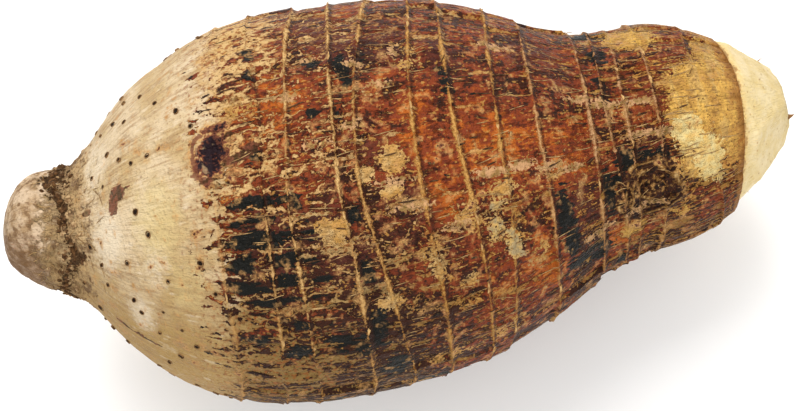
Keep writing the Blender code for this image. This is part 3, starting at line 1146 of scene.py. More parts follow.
@dataclass
class CutBarbs(Scatter):
    """Torn brown fibres that stand off the trimmed point and its skin edge."""

    seen: Table = (
        (231.2, 150, 2.2, 2.6), (226, 30, 2.2, 0.7), (229.5, 205, 1.8, 0.8), (213, 190, 2.4, 0.7),
        (228, 320, 2, 0.7), (216, 250, 1.8, 0.6), (222, 75, 0.9, 0.6),
    )
    radius: float = 0.35
    tip_radius: float = 0.04
    curl: float = 0.25
    turn: float = 30
    lean: float = 25
    sink: float = 0.3

    def master(self) -> Piece:
        """Models one barb: a six-sided spike, a millimetre long, that bends."""
        bpy.ops.mesh.primitive_cone_add(
            vertices=6, radius1=self.radius * MM, radius2=self.tip_radius * MM, depth=MM
        )
        barb = bpy.context.object
        cut_long_edges(barb, axis=2, cuts=3)
        for vertex in barb.data.vertices:
            rise = vertex.co.z / MM + 0.5
            vertex.co.x += self.curl * rise * rise * MM
            vertex.co.z += 0.5 * MM
        return barb

    def build(self) -> Piece:
        """Makes all barbs.

        Returns:
            The finished piece.
        """
        barb = self.master()
        for station, degrees, length, wide in self.seen:
            spot = self.surface.at(station, degrees)
            turn = self.draw.uniform(-self.turn, self.turn)
            placed = self.frame(spot, turn, self.lean, (wide, wide, length), self.sink)
            self.add(barb, placed)
        return self.finish([barb], smooth=True)


class Wiring:
    """Adds nodes to one material or node group and joins them."""

    def __init__(self, tree: bpy.types.NodeTree) -> None:
        """Starts on an empty or partly made tree.

        Args:
            tree: The node tree of the material or group.
        """
        self.tree = tree

    def feed(self, socket: Socket, value: Feed) -> None:
        """Joins another node's output to a socket, or sets the socket's own value."""
        if value is None:
            return
        if isinstance(value, Socket):
            self.tree.links.new(value, socket)
        elif socket.type == "RGBA" and len(value) == 3:
            socket.default_value = (*value, 1.0)
        else:
            socket.default_value = value

    def node(self, kind: str, settings: dict[str, object], inputs: dict[object, Feed]) -> bpy.types.Node:
        """Adds one node.

        Args:
            kind: The node's type.
            settings: Its properties.
            inputs: Its sockets by name or number, with what feeds each.

        Returns:
            The new node.
        """
        made = self.tree.nodes.new(kind)
        for name, value in settings.items():
            setattr(made, name, value)
        for name, value in inputs.items():
            self.feed(made.inputs[name], value)
        return made

    def attribute(self, name: str, output: str = "Fac") -> Socket:
        """Reads an attribute of the piece."""
        return self.node("ShaderNodeAttribute", {"attribute_name": name}, {}).outputs[output]

    def math(self, operation: str, first: Feed, second: Feed = None) -> Socket:
        """One step of arithmetic on plain values."""
        return self.node("ShaderNodeMath", {"operation": operation}, {0: first, 1: second}).outputs[0]

    def add(self, *values: Feed) -> Socket:
        """Sum of several values."""
        total = values[0]
        for value in values[1:]:
            total = self.math("ADD", total, value)
        return total

    def times(self, *values: Feed) -> Socket:
        """Product of several values."""
        total = values[0]
        for value in values[1:]:
            total = self.math("MULTIPLY", total, value)
        return total

    def less(self, first: Feed, second: Feed) -> Socket:
        """First value minus second."""
        return self.math("SUBTRACT", first, second)

    def without(self, mask: Feed) -> Socket:
        """One minus a mask."""
        return self.math("SUBTRACT", 1.0, mask)

    def span(
        self, value: Feed, low: float, high: float, start: float = 0.0, end: float = 1.0, smooth: bool = True
    ) -> Socket:
        """Maps the range low to high onto start to end, held at both.

        Args:
            value: What is mapped.
            low: Value that gives start.
            high: Value that gives end.
            start: Result at low and below.
            end: Result at high and above.
            smooth: True for an eased ramp, False for a straight one.

        Returns:
            The mapped value.
        """
        settings = {"interpolation_type": "SMOOTHSTEP" if smooth else "LINEAR"}
        inputs = {"Value": value, "From Min": low, "From Max": high, "To Min": start, "To Max": end}
        return self.node("ShaderNodeMapRange", settings, inputs).outputs["Result"]

    def mix(self, factor: Feed, first: Feed, second: Feed, blend: str = "MIX") -> Socket:
        """Blends two colours.

        Args:
            factor: 0 gives the first colour, 1 the second.
            first: A colour.
            second: The other colour.
            blend: How they blend.

        Returns:
            The blended colour.
        """
        settings = {"data_type": "RGBA", "blend_type": blend, "clamp_factor": True}
        made = self.node("ShaderNodeMix", settings, {0: factor, 6: first, 7: second})
        return made.outputs[2]

    def scaled(self, vector: Feed, scale: Sequence[float], shift: Sequence[float] = (0, 0, 0)) -> Feed:
        """A vector times a scale along each axis, plus a shift."""
        settings = {"operation": "MULTIPLY_ADD"}
        return self.node("ShaderNodeVectorMath", settings, {0: vector, 1: scale, 2: shift}).outputs[0]

    def noise(self, vector: Feed, scale: float, detail: float = 2.0, roughness: float = 0.55) -> Feed:
        """Smooth noise around 0.5 at this many lumps a unit of the vector."""
        inputs = {"Vector": vector, "Scale": scale, "Detail": detail, "Roughness": roughness}
        return self.node("ShaderNodeTexNoise", {}, inputs).outputs["Fac"]

    def group(self, tree: bpy.types.NodeTree, inputs: dict[str, Feed]) -> bpy.types.Node:
        """Places a shared node group with its own values."""
        return self.node("ShaderNodeGroup", {"node_tree": tree}, inputs)


class SharedEffects:
    """Node groups that more than one material uses."""

    def __init__(self) -> None:
        """Builds each group once."""
        self.fibres = self.make_fibres()
        self.mottle = self.make_mottle()
        self.pores = self.make_pores()
        self.net = self.make_net()

    def start(
        self, name: str, inputs: Sequence[tuple[str, str, object]], outputs: Sequence[tuple[str, str]]
    ) -> tuple[bpy.types.NodeTree, Wiring, bpy.types.Node, bpy.types.Node]:
        """Opens a new node group.

        Args:
            name: The group's name.
            inputs: Its inputs, each a name, a socket type and a value.
            outputs: Its outputs, each a name and a socket type.

        Returns:
            The group, its wiring, its input node and its output node.
        """
        tree = bpy.data.node_groups.new(name, "ShaderNodeTree")
        for label, kind, value in inputs:
            socket = tree.interface.new_socket(label, in_out="INPUT", socket_type=kind)
            socket.default_value = value
        for label, kind in outputs:
            tree.interface.new_socket(label, in_out="OUTPUT", socket_type=kind)
        return tree, Wiring(tree), tree.nodes.new("NodeGroupInput"), tree.nodes.new("NodeGroupOutput")

    def stretched(self, w: Wiring, given: bpy.types.Node, shift: Feed = 0.0) -> Feed:
        """A group's Grain input, counted in its Length along the corm and in its Width across.

        Args:
            w: Wiring of the group.
            given: Its input node.
            shift: What is added along the corm.

        Returns:
            The stretched vector.
        """
        apart = w.node("ShaderNodeSeparateXYZ", {}, {0: given.outputs["Grain"]})
        along = w.math("DIVIDE", apart.outputs[0], given.outputs["Length"])
        across = w.math("DIVIDE", apart.outputs[1], given.outputs["Width"])
        upward = w.math("DIVIDE", apart.outputs[2], given.outputs["Width"])
        parts = {0: w.add(along, shift), 1: across, 2: upward}
        return w.node("ShaderNodeCombineXYZ", {}, parts).outputs[0]

    def make_fibres(self) -> bpy.types.NodeTree:
        """Lengthwise fibres: noise stretched along the first axis of a vector, spread over 0 to 1."""
        inputs = (
            ("Grain", "NodeSocketVector", (0, 0, 0)),
            ("Length", "NodeSocketFloat", 8.0),
            ("Width", "NodeSocketFloat", 1.2),
            ("Shift", "NodeSocketFloat", 0.0),
        )
        outputs = [("Streak", "NodeSocketFloat")]
        tree, w, given, result = self.start("lengthwise_fibres", inputs, outputs)
        grain = self.stretched(w, given, given.outputs["Shift"])
        streak = w.noise(grain, 1.0, 2.0, 0.5)
        w.feed(result.inputs["Streak"], w.span(streak, 0.28, 0.72, smooth=False))
        return tree

    def make_mottle(self) -> bpy.types.NodeTree:
        """Blends two colours by soft noise."""
        inputs = (
            ("Vector", "NodeSocketVector", (0, 0, 0)),
            ("Size", "NodeSocketFloat", 5.0),
            ("First", "NodeSocketColor", (0.5, 0.5, 0.5, 1)),
            ("Second", "NodeSocketColor", (0.4, 0.4, 0.4, 1)),
        )
        outputs = [("Colour", "NodeSocketColor"), ("Mask", "NodeSocketFloat")]
        tree, w, given, result = self.start("mottle", inputs, outputs)
        scale = w.math("DIVIDE", 1.0, given.outputs["Size"])
        made = w.node(
            "ShaderNodeTexNoise", {}, {"Vector": given.outputs["Vector"], "Scale": scale, "Detail": 4.0}
        )
        mask = w.span(made.outputs["Fac"], 0.32, 0.68)
        blend = w.mix(mask, given.outputs["First"], given.outputs["Second"])
        w.feed(result.inputs["Colour"], blend)
        w.feed(result.inputs["Mask"], mask)
        return tree

    def make_pores(self) -> bpy.types.NodeTree:
        """Small round specks, one in each cell of a given size, with a given share of the cell."""
        inputs = (
            ("Vector", "NodeSocketVector", (0, 0, 0)),
            ("Size", "NodeSocketFloat", 3.0),
            ("Reach", "NodeSocketFloat", 0.2),
        )
        tree, w, given, result = self.start("pores", inputs, [("Mask", "NodeSocketFloat")])
        scale = w.math("DIVIDE", 1.0, given.outputs["Size"])
        cells = w.node("ShaderNodeTexVoronoi", {}, {"Vector": given.outputs["Vector"], "Scale": scale})
        inner = w.times(given.outputs["Reach"], 0.6)
        away = w.less(cells.outputs["Distance"], inner)
        width = w.less(given.outputs["Reach"], inner)
        ratio = w.math("DIVIDE", away, width)
        w.feed(result.inputs["Mask"], w.span(ratio, 0.0, 1.0, 1.0, 0.0))
        return tree

    def make_net(self) -> bpy.types.NodeTree:
        """Long cells with a gap between them: how far in from the gap, and a random value for each cell."""
        inputs = (
            ("Grain", "NodeSocketVector", (0, 0, 0)),
            ("Length", "NodeSocketFloat", 6.0),
            ("Width", "NodeSocketFloat", 2.4),
        )
        outputs = [("Inside", "NodeSocketFloat"), ("Toss", "NodeSocketFloat")]
        tree, w, given, result = self.start("lengthwise_net", inputs, outputs)
        grain = {"Vector": self.stretched(w, given), "Scale": 1.0}
        edge = w.node("ShaderNodeTexVoronoi", {"feature": "DISTANCE_TO_EDGE"}, grain)
        cell = w.node("ShaderNodeTexVoronoi", {}, grain)
        split = w.node("ShaderNodeSeparateColor", {}, {0: cell.outputs["Color"]})
        w.feed(result.inputs["Inside"], edge.outputs["Distance"])
        w.feed(result.inputs["Toss"], split.outputs[0])
        return tree


@dataclass(frozen=True)
class SkinFinish:
    """Colours of the whole skin, as light that they give back."""

    name: str = "taro_skin"
    shoulder_light: Colour = (0.59, 0.455, 0.285)
    shoulder_warm: Colour = (0.47, 0.33, 0.16)
    shoulder_line: Colour = (0.27, 0.155, 0.065)
    # Shoulder on the -Y flank and underside: browner skin with painted shade in it
    shoulder_brown_and_shade: Colour = (0.37, 0.235, 0.082)
    knob_light: Colour = (0.60, 0.445, 0.295)
    knob_warm: Colour = (0.40, 0.26, 0.135)
    knob_dark: Colour = (0.17, 0.085, 0.034)
    knob_red: Colour = (0.46, 0.22, 0.12)
    collar_light: Colour = (0.42, 0.27, 0.125)
    collar_dark: Colour = (0.045, 0.019, 0.006)
    lining_light: Colour = (0.54, 0.35, 0.145)
    lining_gold: Colour = (0.44, 0.225, 0.050)
    # Lining on the -Y flank and underside: browner lining with painted shade in it
    lining_brown_and_shade: Colour = (0.225, 0.135, 0.040)
    rust: Colour = (0.19, 0.034, 0.009)
    orange: Colour = (0.37, 0.088, 0.009)
    dusk: Colour = (0.072, 0.017, 0.010)
    umber: Colour = (0.036, 0.010, 0.004)
    char: Colour = (0.006, 0.006, 0.0045)
    peel_light: Colour = (0.67, 0.39, 0.085)
    peel_dark: Colour = (0.22, 0.105, 0.025)
    scar_pale: Colour = (0.66, 0.52, 0.23)
    pale_tan: Colour = (0.37, 0.275, 0.14)
    ring_line: Colour = (0.62, 0.39, 0.155)
    ring_gold: Colour = (0.52, 0.275, 0.075)
    ring_pink: Colour = (0.52, 0.29, 0.135)
    shoulder_white: Colour = (0.74, 0.63, 0.47)
    shoulder_yellow: Colour = (0.60, 0.47, 0.215)
    eye_pit: Colour = (0.018, 0.009, 0.012)
    eye_rim: Colour = (0.16, 0.050, 0.026)
    eye_halo: Colour = (0.52, 0.28, 0.10)
    flesh_light: Colour = (0.70, 0.57, 0.33)
    flesh_warm: Colour = (0.66, 0.51, 0.24)
    edge_brown: Colour = (0.33, 0.145, 0.033)

    def make(self, shared: SharedEffects) -> bpy.types.Material:
        """Builds the material.

        Args:
            shared: The node groups that materials share.

        Returns:
            The material.
        """
        material = bpy.data.materials.new(self.name)
        material.use_nodes = True
        painter = SkinPainter(Wiring(material.node_tree), shared, self)
        shader = material.node_tree.nodes["Principled BSDF"]
        painter.paint(shader)
        return material


class SkinPainter:
    """Lays the skin's colours and relief over each other, from the shoulder up to the bark."""

    def __init__(self, wiring: Wiring, shared: SharedEffects, finish: SkinFinish) -> None:
        """Reads the piece's attributes and makes the noises that the layers share.

        Args:
            wiring: Wiring of the material.
            shared: The node groups that materials share.
            finish: The skin's colours.
        """
        w = self.w = wiring
        self.shared = shared
        self.finish = finish
        self.grain = w.attribute("grain", "Vector")
        spot = w.node("ShaderNodeTexCoord", {}, {}).outputs["Object"]
        self.spot = w.scaled(spot, (1000, 1000, 1000))
        self.broad = w.less(w.noise(self.spot, 1 / 16, 3), 0.5)
        self.medium = w.less(w.noise(self.spot, 1 / 4.5, 3), 0.5)
        self.small = w.less(w.noise(self.spot, 1 / 2.0, 2), 0.5)
        self.fine = w.less(w.noise(self.spot, 1 / 0.85, 2), 0.5)
        self.dash = self.fibres(9.0, 2.6, 9.0)
        self.streak = self.fibres(5.0, 1.5, 0.0)
        self.thin = self.fibres(2.2, 0.60, 4.0)
        warp = w.node("ShaderNodeTexNoise", {}, {"Vector": self.spot, "Scale": 1 / 3.5, "Detail": 2.0})
        warped = w.scaled(warp.outputs["Color"], (5.0, 2.6, 2.6), (-2.5, -1.3, -1.3))
        warped = w.scaled(self.grain, (1, 1, 1), warped)
        net = w.group(self.shared.net, {"Grain": warped, "Length": 6.5, "Width": 2.5})
        self.inside = w.less(net.outputs["Inside"], 0.11)
        self.cell_toss = w.less(net.outputs["Toss"], 0.5)
        self.cover = w.attribute(Cover.BARK.value)
        self.char = w.attribute(Cover.CHAR.value)
        self.near = w.attribute("ring_near")
        self.side = w.attribute("ring_side")
        self.fade = w.attribute(Cover.LINE.value)
        self.place = w.node("ShaderNodeSeparateXYZ", {}, {0: self.grain}).outputs[0]
        self.station = w.attribute("station")
        # low masks the -Y flank and underside, which the layers below darken and brown: partly painted
        # shade, partly browner skin
        self.low = self.plus(w.attribute("low"), broad=0.5)

    def fibres(self, length: float, width: float, shift: float) -> Feed:
        """Lengthwise fibres of one size, between -0.5 and 0.5."""
        w = self.w
        inputs = {"Grain": self.grain, "Length": length, "Width": width, "Shift": shift}
        return w.less(w.group(self.shared.fibres, inputs).outputs["Streak"], 0.5)

    def specks(self, size: float) -> Feed:
        """Mask of small round specks, one in each cell of this size."""
        inputs = {"Vector": self.spot, "Size": size, "Reach": 0.17}
        return self.w.group(self.shared.pores, inputs).outputs["Mask"]

    def plus(self, value: Feed, **weights: float) -> Feed:
        """A value plus this painter's noises and masks, each times its weight."""
        for name, weight in weights.items():
            value = self.w.add(value, self.w.times(getattr(self, name), weight))
        return value

    def over(
        self, under: Feed, colour: Feed, mask: Feed, low: float, high: float, strength: float = 1.0
    ) -> Feed:
        """Lays a colour over another: not at all up to low, and at this strength from high on."""
        return self.w.mix(self.w.span(mask, low, high, 0.0, strength), under, colour)

    def darkened(self, colour: Feed, tint: Colour) -> Feed:
        """A colour multiplied by a tint."""
        return self.w.mix(1.0, colour, tint, "MULTIPLY")

    def paint(self, shader: bpy.types.Node) -> None:
        """Joins all layers to the shader.

        Args:
            shader: The material's Principled BSDF.
        """
        w, finish = self.w, self.finish
        reach = self.plus(
            w.add(
                self.cover,
                w.times(self.char, self.plus(0.52, dash=0.8)),
                w.span(self.place, 48, 56, -0.5, 0.0),
            ),
            inside=1.7,
            cell_toss=0.3,
            streak=0.22,
            dash=0.2,
            thin=0.22,
            medium=0.55,
            fine=0.75,
        )
        bark = w.span(reach, 0.46, 0.53)
        heart = w.span(reach, 0.50, 0.85)
        in_bark = w.span(self.cover, 0.28, 0.50)
        line, line_core, behind = self.ring_lines(in_bark)
        cracked, toss = self.cracks(in_bark)

        lining = self.lining(reach, bark)
        edge = self.plus(self.station, medium=16.0, fine=8.0)
        under = self.over(self.shoulder(), lining, edge, 55, 66)
        colour = w.mix(bark, under, self.bark(toss, behind, line, reach))
        colour = w.mix(w.times(cracked, 0.75), colour, lining)
        line_colour = self.over(finish.ring_line, finish.ring_gold, self.place, 94, 112)
        line_colour = self.over(line_colour, finish.ring_pink, self.place, 142, 156)
        # The scar lines turn darker gold on the -Y flank: partly painted shade, partly their own colour
        line_colour = self.over(line_colour, finish.lining_gold, self.low, 0.2, 0.8, 0.55)
        colour = self.bud(colour)
        colour = w.mix(line, colour, self.darkened(line_colour, (0.62, 0.5, 0.4)))
        colour = w.mix(w.times(line_core, 0.9), colour, line_colour)

        whole = w.span(self.fine, 0.14, 0.2, 1.0, 0.25)
        peeled = w.times(self.patch(Cover.PEEL, 1.9, 1.6, 0.44, 0.54), whole)
        colour = w.mix(peeled, colour, self.peel())
        crease = self.patch(Cover.CREASE, 1.3, 2.2, 0.52, 0.66)
        crease_colour = self.over(finish.ring_pink, finish.lining_brown_and_shade, self.small, -0.1, 0.14)
        colour = w.mix(w.times(crease, 0.9), colour, crease_colour)
        glow = w.times(self.patch(Cover.PALE, 1.4, 0.9, 0.15, 0.95), w.span(self.station, 60, 50, 0.0, 0.6))
        colour = w.mix(glow, colour, finish.shoulder_white)
        pale = w.times(self.patch(Cover.PALE, 1.7, 1.4, 0.42, 0.58), w.span(self.station, 50, 60))
        cream = self.over(finish.pale_tan, finish.scar_pale, self.station, 160, 186)
        pale_colour = self.over(cream, finish.peel_light, self.small, -0.15, 0.15, 0.6)
        colour = w.mix(pale, colour, pale_colour)
        colour = self.eye(colour)
        stain = self.patch(Cover.STAIN, 1.0, 0.9, 0.38, 0.62)
        stain_colour = self.over(finish.collar_dark, finish.eye_rim, self.small, -0.1, 0.1)
        colour = w.mix(w.times(stain, 0.93), colour, stain_colour)

        edge_gap = self.plus(self.place, medium=6.0, fine=3.0)
        colour = self.over(colour, finish.edge_brown, edge_gap, 208.8, 211.0, 0.8)
        dark_edge = self.darkened(finish.edge_brown, (0.5, 0.4, 0.4))
        colour = self.over(colour, dark_edge, edge_gap, 210.4, 212.0, 0.45)
        knob_reach = self.plus(self.station, medium=9.0, broad=14.0)
        colour = w.mix(w.span(knob_reach, 11, 16, 1.0, 0.0), colour, self.knob())
        crumb = self.plus(0.5, medium=2.2, small=2.0, fine=1.2)
        ragged = self.plus(self.station, medium=14.0, broad=10.0, fine=8.0)
        collar = w.times(w.span(ragged, 10.5, 14.5), w.span(ragged, 27.5, 21.5))
        tan = self.over(finish.knob_dark, finish.collar_light, crumb, 0.0, 0.6)
        tan = self.over(tan, finish.shoulder_warm, self.plus(crumb, fine=2.0), 0.9, 1.3, 0.8)
        colour = w.mix(w.times(collar, 0.85), colour, tan)
        depth = self.plus(w.attribute("collar"), medium=1.6, small=1.3, fine=0.9)
        dark = w.span(depth, 0.54, 0.70)
        colour = w.mix(w.times(dark, 0.92), colour, finish.collar_dark)
        flesh = w.span(w.attribute("flesh"), 0.45, 0.55)
        colour = w.mix(flesh, colour, self.flesh())
        w.feed(shader.inputs["Base Color"], colour)

        roughness = self.plus(w.add(0.58, w.times(heart, -0.1), w.times(collar, 0.2)), fine=0.5, small=0.3)
        w.feed(shader.inputs["Roughness"], w.add(roughness, w.times(line, 0.15)))
        shader.inputs["Specular IOR Level"].default_value = 0.10
        height = self.plus(
            w.add(
                w.times(bark, 0.2),
                w.times(heart, 0.12),
                w.times(line_core, 0.3),
                w.times(cracked, -0.25),
                w.times(peeled, -0.25),
                w.times(behind, -0.2),
                w.times(collar, crumb, 1.3),
                w.times(self.inside, in_bark, 0.9),
            ),
            thin=0.16,
            streak=0.2,
            small=0.7,
            fine=0.7,
        )
        calm = w.span(flesh, 0.0, 1.0, 1.0, 0.35)
        inputs = {"Strength": 1.0, "Distance": MM, "Height": w.times(height, calm)}
        bump = w.node("ShaderNodeBump", {}, inputs)
        w.feed(shader.inputs["Normal"], bump.outputs["Normal"])

    def patch(self, cover: Cover, medium: float, fine: float, low: float, high: float) -> Feed:
        """Mask of one kind of blotch, with its edge broken up.

        Args:
            cover: Which blotches.
            medium: How much noise of a few millimetres moves the edge.
            fine: How much finer noise moves it.
            low: Where the edge starts.
            high: Where the patch is full.

        Returns:
            The mask.
        """
        w = self.w
        value = self.plus(w.attribute(cover.value), medium=medium, fine=fine, thin=0.25)
        return w.span(value, low, high)

    def ring_lines(self, in_bark: Feed) -> tuple[Feed, Feed, Feed]:
        """Masks of the pale leaf-scar lines, their brightest middle and the dark line behind them: painted
        shadow of the scar's lip, with the darker bark that starts there.
        """
        w = self.w
        away = self.plus(self.near, fine=1.9, small=1.3)
        breaks = w.noise(w.scaled(self.grain, (1 / 30, 1 / 9, 1 / 9)), 1.0, 3)
        width = self.plus(w.span(breaks, 0.34, 0.66, -0.26, 0.46), char=-0.25, fade=-0.9)
        line = w.times(w.span(w.less(away, width), 0.0, 0.42, 1.0, 0.0), in_bark)
        core = w.times(w.span(w.less(away, width), -0.30, 0.12, 1.0, 0.0), in_bark)
        behind = w.times(w.span(away, 0.7, 1.9, 1.0, 0.0), w.span(self.side, 0.2, 1.0), in_bark)
        return line, core, w.times(behind, w.without(line))

    def cracks(self, in_bark: Feed) -> tuple[Feed, Feed]:
        """Mask of the cracks between plates of bark, and a random value for each plate."""
        w = self.w
        plates = w.node("ShaderNodeUVMap", {"uv_map": "plates"}, {}).outputs["UV"]
        plate = w.node("ShaderNodeSeparateXYZ", {}, {0: plates})
        turns = self.plus(plate.outputs[0], medium=0.3, fine=0.12)
        number = w.math("FLOOR", turns)
        apart = w.math("PINGPONG", turns, 0.5)
        patchy = w.noise(w.scaled(self.grain, (1 / 6, 1 / 9, 1 / 9)), 1.0, 2)
        width = w.span(patchy, 0.42, 0.64, -0.015, 0.048)
        crack = w.times(w.span(w.less(apart, width), 0.0, 0.02, 1.0, 0.0), in_bark)
        key = w.node("ShaderNodeCombineXYZ", {}, {0: number, 1: plate.outputs[1]}).outputs[0]
        toss = w.node("ShaderNodeTexWhiteNoise", {"noise_dimensions": "3D"}, {"Vector": key})
        return w.times(crack, w.span(self.char, 0.9, 0.4)), w.less(toss.outputs["Value"], 0.5)

    def bark(self, toss: Feed, behind: Feed, line: Feed, reach: Feed) -> Feed:
        """Colour of the bark.

        Args:
            toss: Random value of each plate.
            behind: Mask of the dark line behind a leaf scar: painted shadow of its lip, with darker bark.
            line: Mask of the leaf scar's pale line.
            reach: How far the bark covers each point.

        Returns:
            The colour.
        """
        w, finish = self.w, self.finish
        # The low term darkens the bark on the -Y flank: partly painted shade, partly browner bark
        tone = self.plus(
            w.add(
                0.44,
                w.times(toss, 0.26),
                w.times(w.attribute(Cover.WARM.value), 0.62),
                w.times(self.low, w.span(self.station, 96, 124, -0.72, -0.22)),
            ),
            broad=1.3,
            medium=1.5,
            small=1.2,
            fine=1.1,
            cell_toss=0.42,
            inside=-0.55,
            dash=0.2,
        )
        skin = self.over(finish.umber, finish.rust, tone, 0.12, 0.52)
        skin = self.over(skin, finish.orange, tone, 0.6, 1.1)
        # Painted shade: the bark darkens along its edge beside the paler gaps
        rim = w.span(reach, 0.50, 0.66, 0.6, 0.0)
        skin = w.mix(rim, skin, self.darkened(skin, (0.32, 0.24, 0.25)))
        dusk = self.plus(
            w.add(
                w.times(w.attribute(Cover.DUSK.value), w.span(self.low, 0.2, 0.8, 1.0, 0.25)),
                w.times(toss, 0.4),
            ),
            medium=1.2,
            fine=0.8,
        )
        skin = self.over(skin, finish.dusk, dusk, 0.25, 0.9, 0.9)
        dark_dash = self.plus(self.fibres(3.4, 1.15, 17.0), fine=0.5)
        skin = self.over(skin, self.darkened(skin, (0.28, 0.24, 0.26)), dark_dash, 0.08, 0.28, 0.75)
        fleck = self.plus(self.fibres(1.7, 0.8, 23.0), fine=1.1)
        skin = self.over(skin, finish.lining_gold, fleck, 0.26, 0.42, 0.65)
        # The dark line behind each leaf scar, partly painted shadow, also adds black bark
        burnt = self.plus(
            w.add(self.char, w.times(behind, 0.25)),
            inside=1.2,
            streak=0.6,
            thin=0.3,
            medium=0.6,
            fine=0.8,
            cell_toss=0.15,
        )
        skin = self.over(skin, finish.char, burnt, 0.46, 0.62)
        # Painted shadow behind each leaf scar's lip, with the darker bark there, turns the bark umber
        return w.mix(w.times(behind, w.without(line), 0.75), skin, finish.umber)

    def lining(self, reach: Feed, bark: Feed) -> Feed:
        """Colour of the paler layer that shows where the bark has worn off.

        Args:
            reach: How far the bark covers each point.
            bark: Mask of the bark.

        Returns:
            The colour.
        """
        w, finish = self.w, self.finish
        gold = self.plus(w.span(self.station, 85, 150, 0.1, 0.75), broad=1.6, small=1.2)
        lining = self.over(finish.lining_light, finish.lining_gold, gold, 0.1, 0.9)
        # On the -Y flank and underside the lining turns a darker brown: partly painted shade, partly browner
        # lining
        low_lining_brown_and_shade = self.over(finish.lining_brown_and_shade, finish.lining_gold, self.station, 96, 124)
        low_lining_brown_and_shade = self.over(low_lining_brown_and_shade, finish.lining_brown_and_shade, self.low, 0.5, 1.0, 0.5)
        lining = self.over(lining, low_lining_brown_and_shade, self.low, 0.12, 0.8)
        shade = self.darkened(lining, (0.5, 0.38, 0.3))
        lining = self.over(lining, shade, self.thin, 0.0, -0.45, 0.5)
        speck = self.plus(w.less(w.noise(self.spot, 1 / 1.3, 2), 0.5), thin=0.22)
        rusty = self.darkened(finish.orange, (0.65, 0.85, 1.6))
        lining = self.over(lining, rusty, speck, 0.0, 0.13, 0.8)
        lining = self.over(lining, finish.umber, self.fine, 0.08, 0.18, 0.7)
        # Painted shade: the lining darkens next to the raised edge of the bark
        edge = w.times(w.span(reach, 0.30, 0.46), w.without(bark))
        return w.mix(w.times(edge, 0.6), lining, self.darkened(lining, (0.55, 0.35, 0.25)))

    def peel(self) -> Feed:
        """Colour of the patches where the bark has come off whole."""
        w, finish = self.w, self.finish
        bright = self.over(finish.lining_light, finish.peel_light, self.station, 150, 180)
        colour = self.over(bright, finish.lining_gold, self.medium, -0.15, 0.15)
        bands = self.plus(w.noise(w.scaled(self.grain, (1 / 2.3, 1 / 18, 1 / 18)), 1.0, 2), small=0.35)
        neck = w.span(self.station, 184, 192)
        colour = w.mix(w.times(w.span(bands, 0.52, 0.62, 0.0, 0.55), neck), colour, finish.lining_gold)
        colour = w.mix(w.times(w.span(bands, 0.46, 0.38, 0.0, 0.2), neck), colour, finish.scar_pale)
        colour = self.over(colour, finish.peel_dark, self.small, -0.02, -0.22, 0.6)
        return self.over(colour, finish.peel_dark, self.thin, 0.05, 0.45, 0.6)

    def shoulder(self) -> Feed:
        """Colour of the pale shoulder."""
        w, finish = self.w, self.finish
        base = self.over(finish.shoulder_light, finish.shoulder_warm, self.broad, -0.1, 0.12)
        # The shoulder turns browner and darker on the -Y flank and underside: partly painted shade, partly
        # browner skin
        base = self.over(base, finish.shoulder_brown_and_shade, self.low, 0.15, 0.9)
        lines = self.fibres(13.0, 1.5, 2.0)
        marks = (
            (self.plus(lines, medium=1.2), 0.0, 0.42, 0.5),
            (self.plus(self.fibres(8.0, 2.6, 31.0), medium=0.8), 0.10, 0.45, 0.4),
            (self.thin, 0.15, 0.50, 0.3),
            (self.plus(self.fibres(6.0, 0.9, 41.0), medium=0.5), 0.14, 0.44, 0.42),
            (self.medium, 0.06, 0.22, 0.4),
            (self.fine, 0.10, 0.21, 0.55),
        )
        for mark, low, high, strength in marks:
            base = self.over(base, finish.shoulder_line, mark, low, high, strength)
        near_bark = w.times(w.span(self.station, 44, 62), w.span(w.add(self.small, self.fine), 0.02, 0.22))
        base = w.mix(w.times(near_bark, 0.6), base, finish.rust)
        light = self.plus(w.times(lines, -0.35), medium=-1.0)
        base = self.over(base, finish.shoulder_white, light, 0.12, 0.32, 0.35)
        yellow = w.add(w.attribute(Cover.WARM.value), self.medium)
        return self.over(base, finish.shoulder_yellow, yellow, 0.2, 0.8, 0.6)

    def eye(self, colour: Feed) -> Feed:
        """Adds the dark sunken eye, its crumbly rim and the warm skin round it."""
        w, finish = self.w, self.finish
        eye = self.plus(w.attribute("eye"), medium=1.7, small=0.9, fine=0.4)
        colour = self.over(colour, finish.eye_halo, eye, 0.08, 0.42, 0.55)
        crumbs = self.over(finish.eye_rim, finish.eye_halo, self.fine, -0.08, 0.08)
        colour = self.over(colour, crumbs, eye, 0.36, 0.44, 0.9)
        colour = self.over(colour, finish.eye_rim, eye, 0.46, 0.52)
        pit = self.over(finish.eye_pit, finish.eye_rim, self.small, 0.06, 0.18, 0.6)
        pit = self.over(pit, finish.knob_warm, self.small, -0.12, -0.22, 0.6)
        colour = self.over(colour, pit, eye, 0.54, 0.62)
        arc = self.plus(w.attribute("eye_arc"), small=1.2, fine=0.9, medium=0.6)
        colour = self.over(colour, finish.knob_warm, arc, 0.55, 0.95, 0.6)
        return self.over(colour, finish.eye_rim, arc, -0.35, -0.6, 0.85)

    def bud(self, colour: Feed) -> Feed:
        """Adds the side bud: dark scales with pale torn edges."""
        w, finish = self.w, self.finish
        mottle = self.plus(0.0, small=1.6, fine=1.8, medium=1.2)
        scales = self.over(finish.umber, finish.peel_dark, mottle, 0.05, 0.5)
        scales = self.over(scales, finish.char, mottle, -0.05, -0.35, 0.8)
        edge = self.plus(w.attribute("swirl"), fine=0.6, small=0.5)
        scales = self.over(scales, finish.peel_dark, edge, 0.4, 0.7, 0.8)
        scales = self.over(scales, finish.lining_light, edge, 0.75, 1.05, 0.8)
        return self.over(colour, scales, self.plus(w.attribute("bud"), medium=1.3), 0.35, 0.6)

